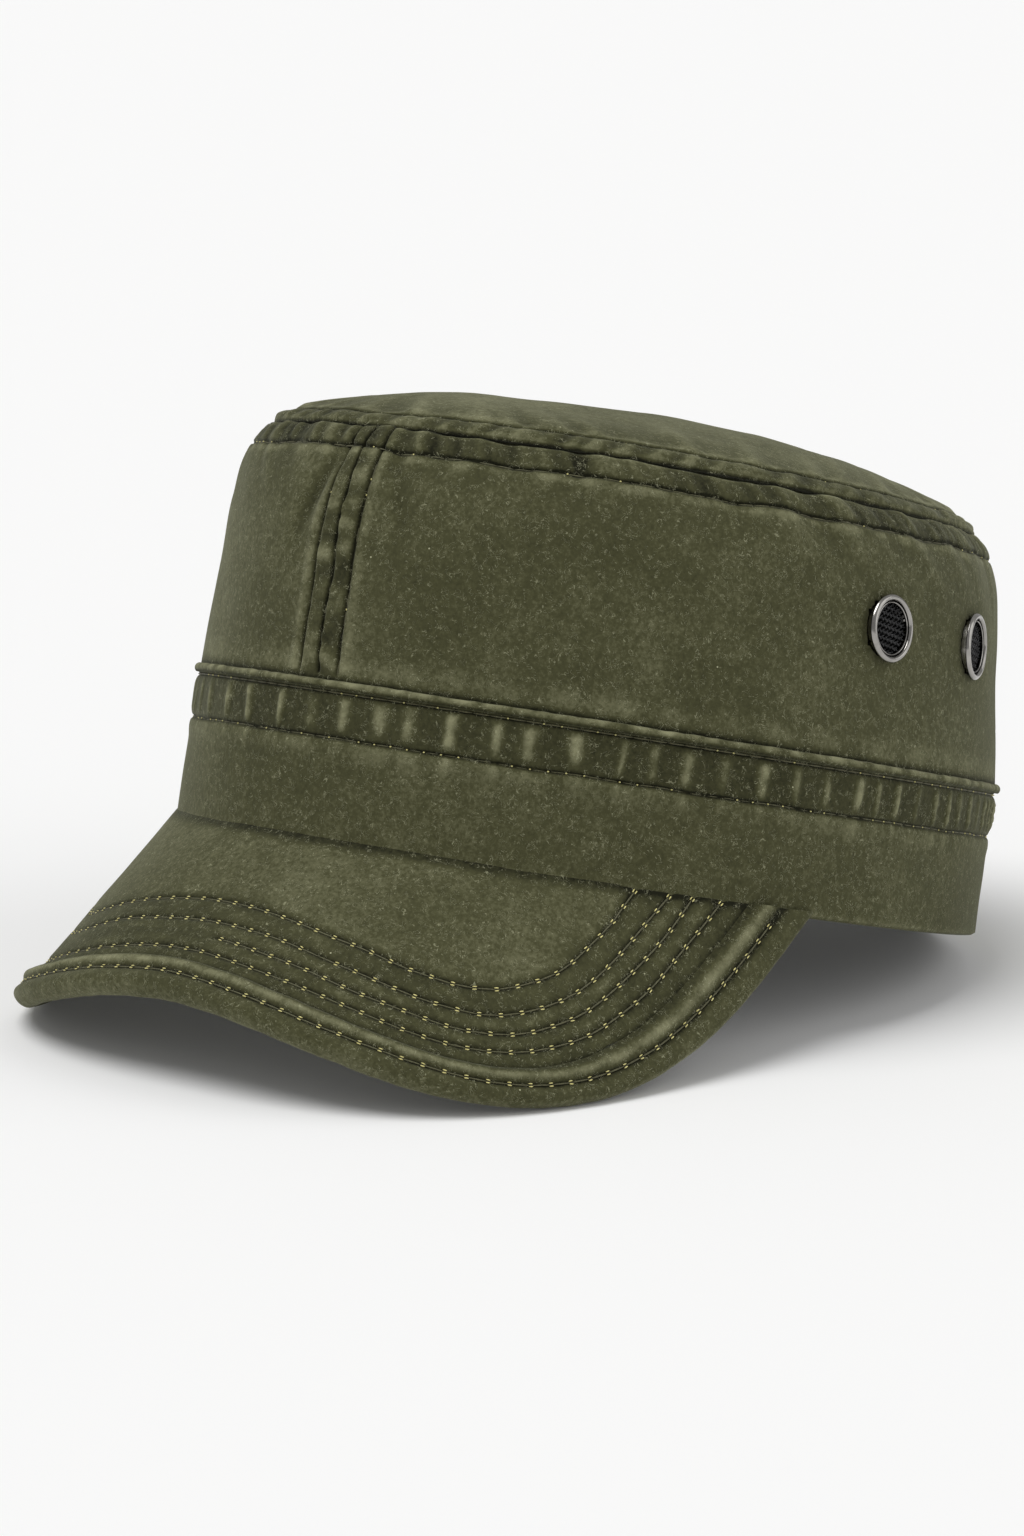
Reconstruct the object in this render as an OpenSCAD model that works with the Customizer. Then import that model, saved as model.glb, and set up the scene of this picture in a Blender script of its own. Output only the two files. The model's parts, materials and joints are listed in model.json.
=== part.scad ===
// Military peaked cap: a flat-topped crown on a band, a drooping peak and a buckled strap behind.
//
// The cap is drawn upright, with its rim in the plane z = 0, the middle of the head opening at
// the origin, the front toward -Y and the wearer's left toward +X. It is then set down the way
// it rests, on the two low corners of its peak and the back of its rim.
// Angles round the cap count from the front, and insets count inward from the rim's outline.

/* [Head opening] */
// Half of the rim's length, front to back
rim_half_length = 103; // [96:0.5:112]
// Half of the rim's width
rim_half_width = 89; // [83:0.5:98]

/* [Crown] */
// Height of the seam between wall and top
seam_height = 93; // [80:1:112]
// Rise of the domed top above that seam
dome_rise = 15; // [8:0.5:20]
// Forward shift of the top over the rim
top_shift = 4.8; // [0:0.2:8]
// Even inward lean of the wall, along the cap
wall_lean_length = 4.4; // [0:0.2:8]
// Even inward lean of the wall, across the cap
wall_lean_width = 5.4; // [0:0.2:9]
// Extra inset of the rounded shoulder, along the cap
shoulder_length = 3; // [0:0.2:6]
// Extra inset of the rounded shoulder, across the cap
shoulder_width = 7; // [0:0.2:9]
// How far the shoulder rolls back in the middle of the front
front_roll = 6; // [0:0.2:8]

/* [Cloth] */
// Thickness of one cloth panel
cloth = 1.2; // [0.8:0.1:1.6]
// Thickness of the tapes over the inside seams
tape = 0.6; // [0.4:0.1:0.9]
// Width of those tapes
tape_width = 15; // [10:0.5:20]
// Gap left between two layers that are sewn together
layer_gap = 0.2; // [0.1:0.05:0.3]

/* [Band] */
// Height of the band round the rim
band_height = 36; // [30:0.5:42]
// Height at which the tucked-in foot of the wall starts
wall_foot = 24; // [23:0.5:28]
// Inset of the wall where it rises above the band
wall_inset = 0.4; // [0.2:0.1:0.8]
// Thickness of the stiffening strip in the band
interlining = 1.6; // [1:0.1:2]
// Angle from the front at which the stiffening strip ends
interlining_end = 120; // [90:1:122]
// Inset of the sweatband's outer face
sweatband_inset = 4.7; // [4.6:0.1:5.5]
// Thickness of the sweatband
sweatband = 0.9; // [0.6:0.1:1.4]
// Height of the sweatband's upper edge
sweatband_height = 34; // [28:0.5:40]

/* [Peak] */
// Reach of the peak in front of the rim
peak_reach = 33; // [26:0.5:42]
// Inset of the peak's corners from the rim's widest points
peak_side_inset = 2.7; // [2:0.1:9]
// Fall of the peak for each unit forward
peak_droop = 1.08; // [0.7:0.01:1.25]
// Squareness of the peak's outline along its sides
peak_fullness = 2.5; // [2:0.1:3.5]
// Squareness of the peak's outline at its corners
peak_corner = 2.9; // [2:0.1:3.5]
// Height at which the peak meets the band
peak_root = 1.5; // [0.5:0.1:4]
// Thickness of the cloth over and under the peak
peak_cloth = 0.8; // [0.6:0.1:1.2]
// Inset of that cloth from the peak's edge
cover_inset = 1.3; // [1.1:0.1:3]
// Thickness of the stiff board inside the peak
board = 1.7; // [1.2:0.1:2.4]
// Gap between the peak's layers
peak_gap = 0.15; // [0.1:0.05:0.2]
// Inset of the board from the peak's edge
board_inset = 1.6; // [1.2:0.1:4]
// Thickness of the binding round the peak's edge
binding = 1; // [0.7:0.1:1.4]
// Width of the binding over the peak, measured level
binding_width = 4.6; // [3:0.1:7]

/* [Eyelets] */
// Drop of the eyelets under the top seam
eyelet_drop = 27; // [20:0.5:36]
// Angle from the front of the front pair
eyelet_front = 84; // [70:0.5:90]
// Angle from the front of the rear pair
eyelet_rear = 106; // [98:0.5:115]
// Radius of an eyelet's barrel, inside
barrel_radius = 5.8; // [4:0.1:6.5]
// Width of the ring outside the barrel
flange_width = 1.9; // [1.4:0.1:2.4]
// Turn of the eyelets toward the back of the cap
eyelet_turn = 4; // [0:0.5:5]
// Clearance of the flat rings over the curved cloth
eyelet_clearance = 0.05; // [0.02:0.01:0.2]

/* [Back opening] */
// Half of the opening's width
opening_half_width = 30; // [25:0.5:34]
// Height of the opening's straight sides
opening_sides = 16; // [8:0.5:20]
// Width of the binding round the opening
opening_binding = 5; // [3:0.5:7]

/* [Strap and buckle] */
// Width of the strap
strap_width = 17; // [14:0.5:17.5]
// Thickness of the strap
strap = 1.2; // [0.9:0.1:1.4]
// Inset of the strap's middle
strap_inset = 2.2; // [2:0.1:2.4]
// Height of the strap's lower edge
strap_foot = 4.5; // [4.5:0.5:6]
// How far the strap's ends run on past the opening's edge
strap_lap = 16; // [14:0.5:18]
// Angle it can slide each way
strap_travel = 8; // [4:0.5:9]
// Clearance round the strap
strap_clearance = 0.35; // [0.2:0.05:0.5]
// Angle of the buckle from the middle of the back
buckle_angle = 10; // [6:0.5:11]
// Length of the buckle's base plate
buckle_length = 14; // [11:0.5:15]
// Thickness of the buckle's base plate
buckle_plate = 0.8; // [0.6:0.1:0.9]
// Thickness of the buckle's two cheeks
cheek = 1.4; // [1.2:0.1:1.8]
// Radius of the lever's pin
pin_radius = 1; // [0.8:0.05:1.2]
// Running clearance of the lever on its pin
pin_clearance = 0.05; // [0.02:0.01:0.1]
// Radius of the lever's round cam
cam_radius = 1.9; // [1.7:0.05:2]
// Offset of the cam from the pin
cam_offset = 0.35; // [0.2:0.05:0.4]
// Length of the lever from its pin
lever_length = 11.5; // [9:0.5:12]
// Thickness of the lever's plate
lever_plate = 1; // [0.8:0.1:1.2]

/* [Rest] */
// Backward tilt of the cap where it rests
rest_pitch = 13.6; // [12:0.1:16]

/* [Hidden] */
EYELETS = [["left_front", 1, eyelet_front], ["left_rear", 1, eyelet_rear],
           ["right_front", -1, eyelet_front], ["right_rear", -1, eyelet_rear]];

olive = "darkolivegreen";
dark_olive = "#3d4029";
tape_olive = "#6b6b4a";
metal = "#5c5a55";
black = "#1c1c1c";

step = 5; // degrees between two sections round the cap
round_steps = 8; // rings over half of the dome
wall_levels = 9; // sections up the wall above the band
peak_steps = 26; // sections over half of the peak
joint_steps = 48; // facets of small round parts
opening_foot = -10; // start of the cuts, below the rim
through = 60; // length of a cut through the back
flange_height = 1.2; // turned-in bottom of the band
binding_lap = 0.8; // binding outside and inside the cloth it covers
peak_thickness = 2 * peak_cloth + board + 2 * peak_gap;
peak_half_width = rim_half_width - peak_side_inset;
strap_meet = opening_half_width + 0.75 * strap_lap; // where the strap's circle meets the rim's curve
strap_rise = (rim_half_length - strap_inset)
  * (1 - sqrt(1 - pow(strap_meet / (rim_half_width - strap_inset), 2)));
strap_radius = (pow(strap_meet, 2) + pow(strap_rise, 2)) / (2 * strap_rise);
strap_centre_y = rim_half_length - strap_inset - strap_radius;
strap_reach = asin(opening_half_width / strap_radius) + degrees_along(strap_lap);
eyelet_height = seam_height - eyelet_drop;
washer_radius = barrel_radius + flange_width + 0.3;
eyelet_standoff = pow(washer_radius, 2) / (2 * (rim_half_width - wall_inset))
  + washer_radius * sin(eyelet_turn) + eyelet_clearance;

// ---- Shared shapes ----

// A solid through sections with equal numbers of points. An open one is closed by its first and
// last section, whose points pair up from both ends of the list.
module skin(sections, closed = false) {
  n = len(sections);
  m = len(sections[0]);
  sides = [for (i = [0 : closed ? n - 1 : n - 2]) for (j = [0 : m - 1])
    let (a = i * m + j, b = i * m + (j + 1) % m, next = ((i + 1) % n) * m)
    each [[a, next + j, b], [b, next + j, next + (j + 1) % m]]];
  ends = closed ? [] : [for (j = [0 : m / 2 - 2])
    let (k = m - 1 - j, last = (n - 1) * m)
    each [[j, j + 1, k - 1], [j, k - 1, k],
          [last + j, last + k - 1, last + j + 1], [last + j, last + k, last + k - 1]]];
  polyhedron([for (s = sections) each s], concat(sides, ends));
}

// A point at an angle round the cap, at insets along and across it, moved forward by a shift
function round_point(angle, inset_length, inset_width, shift, z) =
  [(rim_half_width - inset_width) * sin(angle),
   -shift - (rim_half_length - inset_length) * cos(angle),
   z];

// Share of the wall's height above the band, from 0 to 1
function rise(z) = max(0, (z - band_height) / (seam_height - band_height));
function wall_base(z) = z > band_height ? wall_inset : cloth + layer_gap;
function wall_in_length(z) =
  wall_base(z) + wall_lean_length * rise(z) + shoulder_length * pow(rise(z), 8);
function wall_in_width(z) =
  wall_base(z) + wall_lean_width * rise(z) + shoulder_width * pow(rise(z), 8);
function front_fall(angle, z) = front_roll * pow(max(0, cos(angle)), 3) * pow(rise(z), 6);
function wall_point(angle, z, depth) =
  round_point(angle, wall_in_length(z) + depth, wall_in_width(z) + depth, top_shift * rise(z), z)
  + [0, front_fall(angle, z), 0];

// A cross-section of a layer of the wall: outer face upward, inner face downward
function layer_section(angle, heights, outer, inner) =
  concat([for (z = heights) wall_point(angle, z, outer)],
         [for (i = [len(heights) - 1 : -1 : 0]) wall_point(angle, heights[i], inner)]);

// Evenly spaced heights
function levels(low, high, count) = [for (i = [0 : count]) low + (high - low) * i / count];

// A flat strip that follows the rim
function strip_section(angle, outer, inner, low, high) =
  [round_point(angle, outer, outer, 0, low), round_point(angle, outer, outer, 0, high),
   round_point(angle, inner, inner, 0, high), round_point(angle, inner, inner, 0, low)];

function round_angles(first, last) = [for (a = [first : step : last]) a];

// The back opening's outline, grown outward, cut through the back of the cap
module opening_cut(grow) {
  translate([0, rim_half_length + through / 4, 0])
    rotate([90, 0, 0])
      linear_extrude(through) {
        translate([-opening_half_width - grow, opening_foot])
          square([2 * (opening_half_width + grow), opening_sides - opening_foot]);
        translate([0, opening_sides])
          circle(opening_half_width + grow, $fn = 3 * joint_steps);
      }
}

// ---- Crown ----

function dome_height(share) = dome_rise * pow(1 - pow(share, 2.5), 1 / 1.5);
function dome_ring(share, depth) =
  [for (a = round_angles(0, 360 - step))
    let (length = (rim_half_length - wall_in_length(seam_height) - depth) * share,
         width = (rim_half_width - wall_in_width(seam_height) - depth) * share)
    [width * sin(a), -top_shift - length * cos(a) + front_fall(a, seam_height) * share,
     seam_height + dome_height(share) * (dome_rise - depth) / dome_rise]];

module crown_top() {
  shares = [for (i = [1 : round_steps]) sin(90 * i / round_steps)];
  color(olive)
    skin(concat([for (s = shares) dome_ring(s, cloth)],
                [for (i = [round_steps - 1 : -1 : 0]) dome_ring(shares[i], 0)]));
}

module crown_wall_half() {
  heights = concat([wall_foot, band_height],
                   levels(band_height + 0.4, seam_height - 12, 4),
                   levels(seam_height - 8, seam_height, wall_levels - 5));
  difference() {
    skin([for (a = round_angles(0, 180)) layer_section(a, heights, 0, cloth)]);
    opening_cut(opening_binding + layer_gap);
    for (e = [EYELETS[0], EYELETS[1]])
      at_eyelet(e) cylinder(r = barrel_radius + 1.2, h = 16, center = true, $fn = joint_steps);
  }
}

module crown_wall_left() {
  color(olive) crown_wall_half();
}

module crown_wall_right() {
  color(olive) mirror([1, 0, 0]) crown_wall_half();
}

module top_seam_tape() {
  heights = levels(seam_height - tape_width / 2, seam_height - 1, 3);
  face = cloth + layer_gap;
  color(tape_olive)
    skin([for (a = round_angles(0, 360 - step)) layer_section(a, heights, face, face + tape)],
         closed = true);
}

// A tape down the inside of the wall, centred at an angle
module wall_tape(angle, low) {
  heights = levels(low, seam_height - tape_width / 2 - 1, 4);
  half = asin(tape_width / 2 / rim_half_width);
  face = cloth + layer_gap;
  color(tape_olive)
    skin([for (a = levels(angle - half, angle + half, 4))
      layer_section(a, heights, face, face + tape)]);
}

module front_seam_tape() {
  wall_tape(0, band_height + 1);
}

module back_seam_tape() {
  wall_tape(180, opening_sides + opening_half_width + opening_binding + 1);
}

// ---- Band ----

module hat_band() {
  foot = sweatband_inset + sweatband;
  color(olive)
    difference() {
      skin([for (a = round_angles(0, 360 - step))
        [round_point(a, 0, 0, 0, 0), round_point(a, 0, 0, 0, band_height),
         round_point(a, cloth, cloth, 0, band_height),
         round_point(a, cloth, cloth, 0, flange_height),
         round_point(a, foot, foot, 0, flange_height), round_point(a, foot, foot, 0, 0)]],
        closed = true);
      opening_cut(opening_binding + layer_gap);
    }
}

module band_interlining() {
  outer = cloth + layer_gap;
  color(tape_olive)
    skin([for (a = round_angles(-interlining_end, interlining_end))
      strip_section(a, outer, outer + interlining, flange_height + layer_gap,
                    wall_foot - layer_gap)]);
}

module sweatband_strip() {
  color(dark_olive)
    difference() {
      skin([for (a = round_angles(0, 360 - step))
        strip_section(a, sweatband_inset, sweatband_inset + sweatband,
                      flange_height + layer_gap, sweatband_height)],
        closed = true);
      opening_cut(1);
    }
}

// ---- Peak ----
// The peak is bent only across: it falls in straight lines from the rim, side by side.

peak_root_length = rim_half_length + 0.3;
peak_root_width = rim_half_width + 0.3;

function root_y(x) = -peak_root_length * sqrt(1 - pow(x / peak_root_width, 2));
function root_slope(x) = -peak_root_length * peak_root_length * x
  / (peak_root_width * peak_root_width * root_y(x));

// Station from -1 to 1 along an outline that lies inset from the peak's edge
function peak_x(u, inset) =
  sign(u) * (peak_half_width - inset) * (1 - pow(1 - abs(u), peak_corner));
function peak_y(u, inset) =
  let (half = peak_half_width - inset,
       side = root_y(half),
       front = inset - rim_half_length - peak_reach)
  side + (front - side)
    * pow(max(0, 1 - pow(abs(peak_x(u, inset)) / half, peak_fullness)), 1 / peak_corner);

// A point of the peak under its upper surface, by a depth square to that surface
function peak_point(x, y, depth) =
  let (square = [peak_droop * root_slope(x), -peak_droop, 1])
  [x, y, peak_root + peak_droop * (y - root_y(x))] - depth * square / norm(square);
function peak_at(u, inset, depth) = peak_point(peak_x(u, inset), peak_y(u, inset), depth);

peak_stations = [for (i = [-peak_steps : peak_steps]) i / peak_steps];

// Keeps the peak out of the band, which it is sewn under
module clear_of_band() {
  difference() {
    children();
    translate([0, 0, -layer_gap])
      linear_extrude(12)
        polygon([for (a = round_angles(0, 360 - step))
          [peak_root_width * sin(a), -peak_root_length * cos(a)]]);
  }
}

// A layer of the peak between two depths
module peak_layer(inset, upper, lower) {
  clear_of_band()
    skin([for (u = peak_stations)
      let (x = peak_x(u, inset), root = root_y(x), edge = min(peak_y(u, inset), root - 0.5))
      [peak_point(x, root, lower), peak_point(x, root, upper),
       peak_point(x, edge, upper), peak_point(x, edge, lower)]]);
}

module peak_top_cover() {
  color(olive) peak_layer(cover_inset, 0, peak_cloth);
}

module peak_board() {
  color(black)
    peak_layer(board_inset, peak_cloth + peak_gap, peak_cloth + peak_gap + board);
}

module peak_bottom_cover() {
  color(olive) peak_layer(cover_inset, peak_thickness - peak_cloth, peak_thickness);
}

// The binding's cross-section wraps the peak's edge: outer face first, then the face inside it
function binding_section(u) =
  let (over = -peak_gap - binding, under = peak_thickness + peak_gap + binding,
       middle = peak_thickness / 2)
  [peak_at(u, binding_width, over), peak_at(u, 0.8, over),
   peak_at(u, -binding, middle - 1), peak_at(u, -binding, middle + 1),
   peak_at(u, 0.8, under), peak_at(u, binding_width, under),
   peak_at(u, binding_width, under - binding), peak_at(u, 0.6, under - binding),
   peak_at(u, 0, middle + 0.8), peak_at(u, 0, middle - 0.8),
   peak_at(u, 0.6, over + binding), peak_at(u, binding_width, over + binding)];

module peak_binding() {
  color(olive)
    clear_of_band() skin([for (u = peak_stations) binding_section(u)]);
}

// ---- Eyelets ----

// Sets an eyelet part down on the wall, with its own Z pointing outward
module at_eyelet(e) {
  point = wall_point(e[1] * e[2], eyelet_height, 0);
  length = rim_half_length - wall_in_length(eyelet_height);
  width = rim_half_width - wall_in_width(eyelet_height);
  heading = atan2(-cos(e[2]) / length, e[1] * sin(e[2]) / width) + e[1] * eyelet_turn;
  lean = atan(wall_lean_width / (seam_height - band_height));
  translate(point)
    rotate([0, 0, heading])
      rotate([0, 90 - lean, 0])
        children();
}

module eyelet_ring(e) {
  wall = 0.6;
  color(metal)
    at_eyelet(e)
      rotate_extrude($fn = joint_steps) {
        translate([barrel_radius, -cloth - 1.5])
          square([wall, cloth + 1.5 + eyelet_standoff + 0.3]);
        translate([barrel_radius + 0.1, eyelet_standoff])
          square([flange_width - 0.5, 0.6]);
        intersection() {
          translate([barrel_radius + flange_width - 0.95, eyelet_standoff + 0.1])
            circle(0.95, $fn = 24);
          translate([barrel_radius, eyelet_standoff])
            square([flange_width, 2]);
        }
      }
}

module eyelet_mesh(e) {
  color(black)
    at_eyelet(e) cylinder(r = barrel_radius - 0.05, h = 0.6, $fn = joint_steps);
}

module eyelet_washer(e) {
  color(metal)
    at_eyelet(e)
      translate([0, 0, -cloth - eyelet_standoff - 0.6])
        difference() {
          cylinder(r = washer_radius, h = 0.6, $fn = joint_steps);
          translate([0, 0, -1])
            cylinder(r = barrel_radius + 0.65, h = 3, $fn = joint_steps);
        }
}

// ---- Back opening, strap and buckle ----

// The angle that a length along the strap covers
function degrees_along(length) = length / strap_radius * 180 / PI;

// A piece of an upright strip that runs along the strap's circle
module strap_arc(from_angle, to_angle, inner, thickness, foot, height) {
  translate([0, strap_centre_y, 0])
    rotate([0, 0, 90 + from_angle])
      rotate_extrude(angle = to_angle - from_angle, $fn = 180)
        translate([strap_radius + inner, foot])
          square([thickness, height]);
}

// How far the opening's binding stands out from the wall's own face
function lap(z) = binding_lap + wall_base(z) - wall_base(band_height + 1)
  + (z > band_height ? 0 : wall_inset);

module opening_binding_tape() {
  heights = concat([0, band_height],
    levels(band_height + 0.4, opening_sides + opening_half_width + opening_binding + 4, 3));
  color(tape_olive)
    difference() {
      skin([for (a = round_angles(145, 215))
        concat([for (z = heights) wall_point(a, z, -lap(z))],
               [for (i = [len(heights) - 1 : -1 : 0])
                 wall_point(a, heights[i], cloth + binding_lap)])]);
      difference() {
        opening_cut(60);
        opening_cut(opening_binding);
      }
      opening_cut(0);
      strap_arc(-50, 50, -strap / 2 - 2, 2 + strap + strap_clearance,
                strap_foot - strap_clearance, strap_width + 2 * strap_clearance);
    }
}

module back_strap() {
  color(dark_olive)
    strap_arc(-strap_reach, strap_reach, -strap / 2, strap, strap_foot, strap_width);
}

// Sets a buckle part down on the strap: X along the strap, Y outward, Z up
module at_buckle() {
  translate([0, strap_centre_y, strap_foot + strap_width / 2])
    rotate([0, 0, buckle_angle])
      translate([0, strap_radius, 0])
        children();
}

pin_x = 2; // place of the lever's pin along the strap
pin_y = 3; // height of the pin over the strap's middle
cheek_inside = strap_width / 2 + 0.4;
cheek_outside = cheek_inside + cheek;
plate_face = strap / 2 + 0.5; // how far under the strap's middle the base plate starts

module buckle_frame() {
  color(metal)
    at_buckle()
      difference() {
        union() {
          translate([-buckle_length / 2, -plate_face - buckle_plate, -cheek_outside])
            cube([buckle_length, buckle_plate, 2 * cheek_outside]);
          for (side = [-1, 1])
            translate([pin_x, 0, side * (cheek_inside + cheek / 2)]) {
              translate([-2.4, -plate_face - buckle_plate / 2, -cheek / 2])
                cube([4.8, plate_face + buckle_plate / 2 + pin_y, cheek]);
              translate([0, pin_y, 0])
                cylinder(r = 2.4, h = cheek, center = true, $fn = joint_steps);
            }
        }
        translate([pin_x, pin_y, 0])
          cylinder(r = pin_radius + pin_clearance / 2, h = 3 * cheek_outside, center = true,
                   $fn = joint_steps);
      }
}

module buckle_pin() {
  color(metal)
    at_buckle()
      translate([pin_x, pin_y, 0])
        cylinder(r = pin_radius, h = 2 * cheek_outside, center = true, $fn = joint_steps);
}

module buckle_lever() {
  half = cheek_inside - 0.2;
  color(metal)
    at_buckle()
      translate([pin_x, pin_y, 0])
        difference() {
          union() {
            translate([0, -cam_offset, 0])
              cylinder(r = cam_radius, h = 2 * half, center = true, $fn = joint_steps);
            translate([-lever_length, cam_radius - cam_offset - lever_plate, -half])
              cube([lever_length, lever_plate, 2 * half]);
            translate([-lever_length, cam_radius - cam_offset - lever_plate / 2, 0])
              cylinder(r = 0.9, h = 2 * half, center = true, $fn = joint_steps);
          }
          cylinder(r = pin_radius + pin_clearance, h = 4 * half, center = true,
                   $fn = joint_steps);
        }
}

module buckle_tab() {
  start = buckle_angle + degrees_along(buckle_length / 2 + layer_gap);
  color(dark_olive)
    strap_arc(start, strap_reach - degrees_along(4), -plate_face - buckle_plate, buckle_plate, strap_foot,
              strap_width);
}

// ---- Rest ----

// Height and reach of a drawn point once the cap is tilted
function tilted_y(p) = p[1] * cos(rest_pitch) + p[2] * sin(rest_pitch);
function tilted_z(p) = p[2] * cos(rest_pitch) - p[1] * sin(rest_pitch);

edge_points = [for (u = peak_stations) each binding_section(u)];
back_corner = wall_point(180 - asin(opening_half_width / rim_half_width), 0, -lap(0));
lowest = min([for (p = concat(edge_points, [back_corner])) tilted_z(p)]);
front = min([for (p = edge_points) tilted_y(p)]);
back = max([for (z = levels(band_height + 0.2, seam_height, 20)) tilted_y(wall_point(180, z, 0))]);

module at_rest() {
  translate([0, -(front + back) / 2, -lowest])
    rotate([-rest_pitch, 0, 0])
      children();
}

at_rest() {
  crown_top();
  crown_wall_left();
  crown_wall_right();
  top_seam_tape();
  front_seam_tape();
  back_seam_tape();
  hat_band();
  band_interlining();
  sweatband_strip();
  peak_top_cover();
  peak_board();
  peak_bottom_cover();
  peak_binding();
  opening_binding_tape();
  back_strap();
  buckle_frame();
  buckle_pin();
  buckle_lever();
  buckle_tab();
  for (e = EYELETS) {
    eyelet_ring(e);
    eyelet_mesh(e);
    eyelet_washer(e);
  }
}
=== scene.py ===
"""A military peaked cap of washed olive cotton, built round its frame of plain solids.

Each section makes one piece, or one group of like pieces, in the order in which a cap maker puts
them together. The pieces are shaped upright, in millimetres round the middle of the head opening,
with the front toward -Y and the wearer's left toward +X. They are then set down the way the cap
rests. Angles round the cap are in radians from the front, and an inset counts inward from the rim.
"""

import bisect
import json
import math

import bmesh
import bpy
from mathutils import Matrix, Vector, noise


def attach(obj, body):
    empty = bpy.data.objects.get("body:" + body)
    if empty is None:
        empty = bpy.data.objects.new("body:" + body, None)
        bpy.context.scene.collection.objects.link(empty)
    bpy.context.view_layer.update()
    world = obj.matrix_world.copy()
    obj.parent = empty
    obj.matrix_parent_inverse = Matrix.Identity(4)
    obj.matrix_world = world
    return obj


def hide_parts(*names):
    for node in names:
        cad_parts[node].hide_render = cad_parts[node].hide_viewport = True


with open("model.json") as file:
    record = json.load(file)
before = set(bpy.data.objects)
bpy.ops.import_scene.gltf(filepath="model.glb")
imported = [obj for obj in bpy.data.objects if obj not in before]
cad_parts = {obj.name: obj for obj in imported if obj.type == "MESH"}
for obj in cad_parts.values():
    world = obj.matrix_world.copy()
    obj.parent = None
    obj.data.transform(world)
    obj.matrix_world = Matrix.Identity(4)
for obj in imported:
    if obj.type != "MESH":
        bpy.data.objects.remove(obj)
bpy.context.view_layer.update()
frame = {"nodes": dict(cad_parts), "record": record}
scene = bpy.context.scene

# ---- How the cap rests ----
# The frame names the middle of the head opening and the direction that the opening faces. That
# gives the turn from the upright cap to the resting one, and the cap's main sizes are read back
# from the frame's solids the same way.

opening = next(m for m in frame["record"]["mounts"] if m["name"] == "head_opening")
rim_centre = Vector(opening["pos_m"])
cap_up = -Vector(opening["axis"])
rest_pitch = math.atan2(cap_up.y, cap_up.z)
to_rest = (
    Matrix.Translation(rim_centre) @ Matrix.Rotation(-rest_pitch, 4, "X") @ Matrix.Scale(0.001, 4)
)
to_upright = to_rest.inverted()


def upright_box(node):
    """Lowest and highest corner of one of the frame's solids, upright and in millimetres."""
    places = [to_upright @ v.co for v in frame["nodes"][node].data.vertices]
    low = Vector([min(p[i] for p in places) for i in range(3)])
    high = Vector([max(p[i] for p in places) for i in range(3)])
    return low, high


band_low, band_high = upright_box("hat_band")
half_width = band_high.x
half_length = -band_low.y
band_height = band_high.z
seam_height = upright_box("crown_wall_left")[1].z
dome_rise = upright_box("crown_top")[1].z - seam_height
cloth = 1.2  # thickness of one cloth panel
layer_gap = 0.2  # between two layers that are sewn together

# ---- Camera, floor and light ----
# The cap stands on a plain pale sweep under a wide soft light from above and a little in front,
# and a weaker one from the wearer's left and behind. The camera looks a little down on the
# wearer's left front.

camera_azimuth = math.radians(39.9)
camera_elevation = math.radians(10.73)
camera_distance = 1.085
camera_target = rim_centre + Vector((-0.0207, 0, 0.0233))
camera_back = Vector(
    (
        math.sin(camera_azimuth) * math.cos(camera_elevation),
        -math.cos(camera_azimuth) * math.cos(camera_elevation),
        math.sin(camera_elevation),
    )
)
bpy.ops.object.select_all(action="DESELECT")
bpy.ops.object.camera_add(location=camera_target + camera_back * camera_distance)
camera = bpy.context.object
camera.rotation_euler = (-camera_back).to_track_quat("-Z", "Y").to_euler()
camera.data.sensor_width = 36
camera.data.lens = 107.1
camera.data.clip_start = 0.01
scene.camera = camera

world = bpy.data.worlds.new("soft_room")
world.use_nodes = True
world.node_tree.nodes["Background"].inputs["Color"].default_value = (1, 1, 1, 1)
world.node_tree.nodes["Background"].inputs["Strength"].default_value = 0.4
scene.world = world

bpy.ops.object.light_add(type="SUN", rotation=(math.radians(19), math.radians(-8), 0))
key_light = bpy.context.object
key_light.name = "overhead_light"
key_light.data.energy = 1.8
key_light.data.angle = math.radians(40)

bpy.ops.object.light_add(type="SUN", rotation=(math.radians(-25), math.radians(62), 0))
side_light = bpy.context.object
side_light.name = "side_light"
side_light.data.energy = 0.75
side_light.data.angle = math.radians(60)

bpy.ops.mesh.primitive_grid_add(x_subdivisions=8, y_subdivisions=8, size=60, location=(0, 0, 0))
floor = bpy.context.object
floor.name = "pale_floor"
floor_paint = bpy.data.materials.new("pale_paper")
floor_paint.use_nodes = True
paper = floor_paint.node_tree.nodes["Principled BSDF"]
paper.inputs["Base Color"].default_value = (0.88, 0.88, 0.877, 1)
paper.inputs["Emission Color"].default_value = (1, 1, 0.99, 1)
paper.inputs["Emission Strength"].default_value = 0.035
paper.inputs["Roughness"].default_value = 1.0
paper.inputs["Specular IOR Level"].default_value = 0.0
floor.data.materials.append(floor_paint)
scene.view_settings.view_transform = "Standard"

# ---- Washed cotton ----
# The cloth is a dense cotton that was washed until its colour went cloudy, and it is covered in
# short curled fibres and specks of lint. Every cloth piece carries two values at each point that
# this finish reads: one makes it paler where it stands proud, partly from wear and partly as a
# painted highlight, and the other is painted shade in stitched channels, seams, folds and gaps.


def add_node(tree, kind, settings=(), **values):
    """A shader node with its settings, and its inputs set to values or linked to sockets."""
    made = tree.nodes.new(kind)
    for name, value in dict(settings).items():
        setattr(made, name, value)
    for name, value in values.items():
        socket = made.inputs[int(name[1:])] if name[0] == "i" and name[1:].isdigit() else None
        if socket is None:
            socket = made.inputs[name.replace("_", " ")]
        if isinstance(value, bpy.types.NodeSocket):
            tree.links.new(value, socket)
        else:
            socket.default_value = value
    return made


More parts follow.
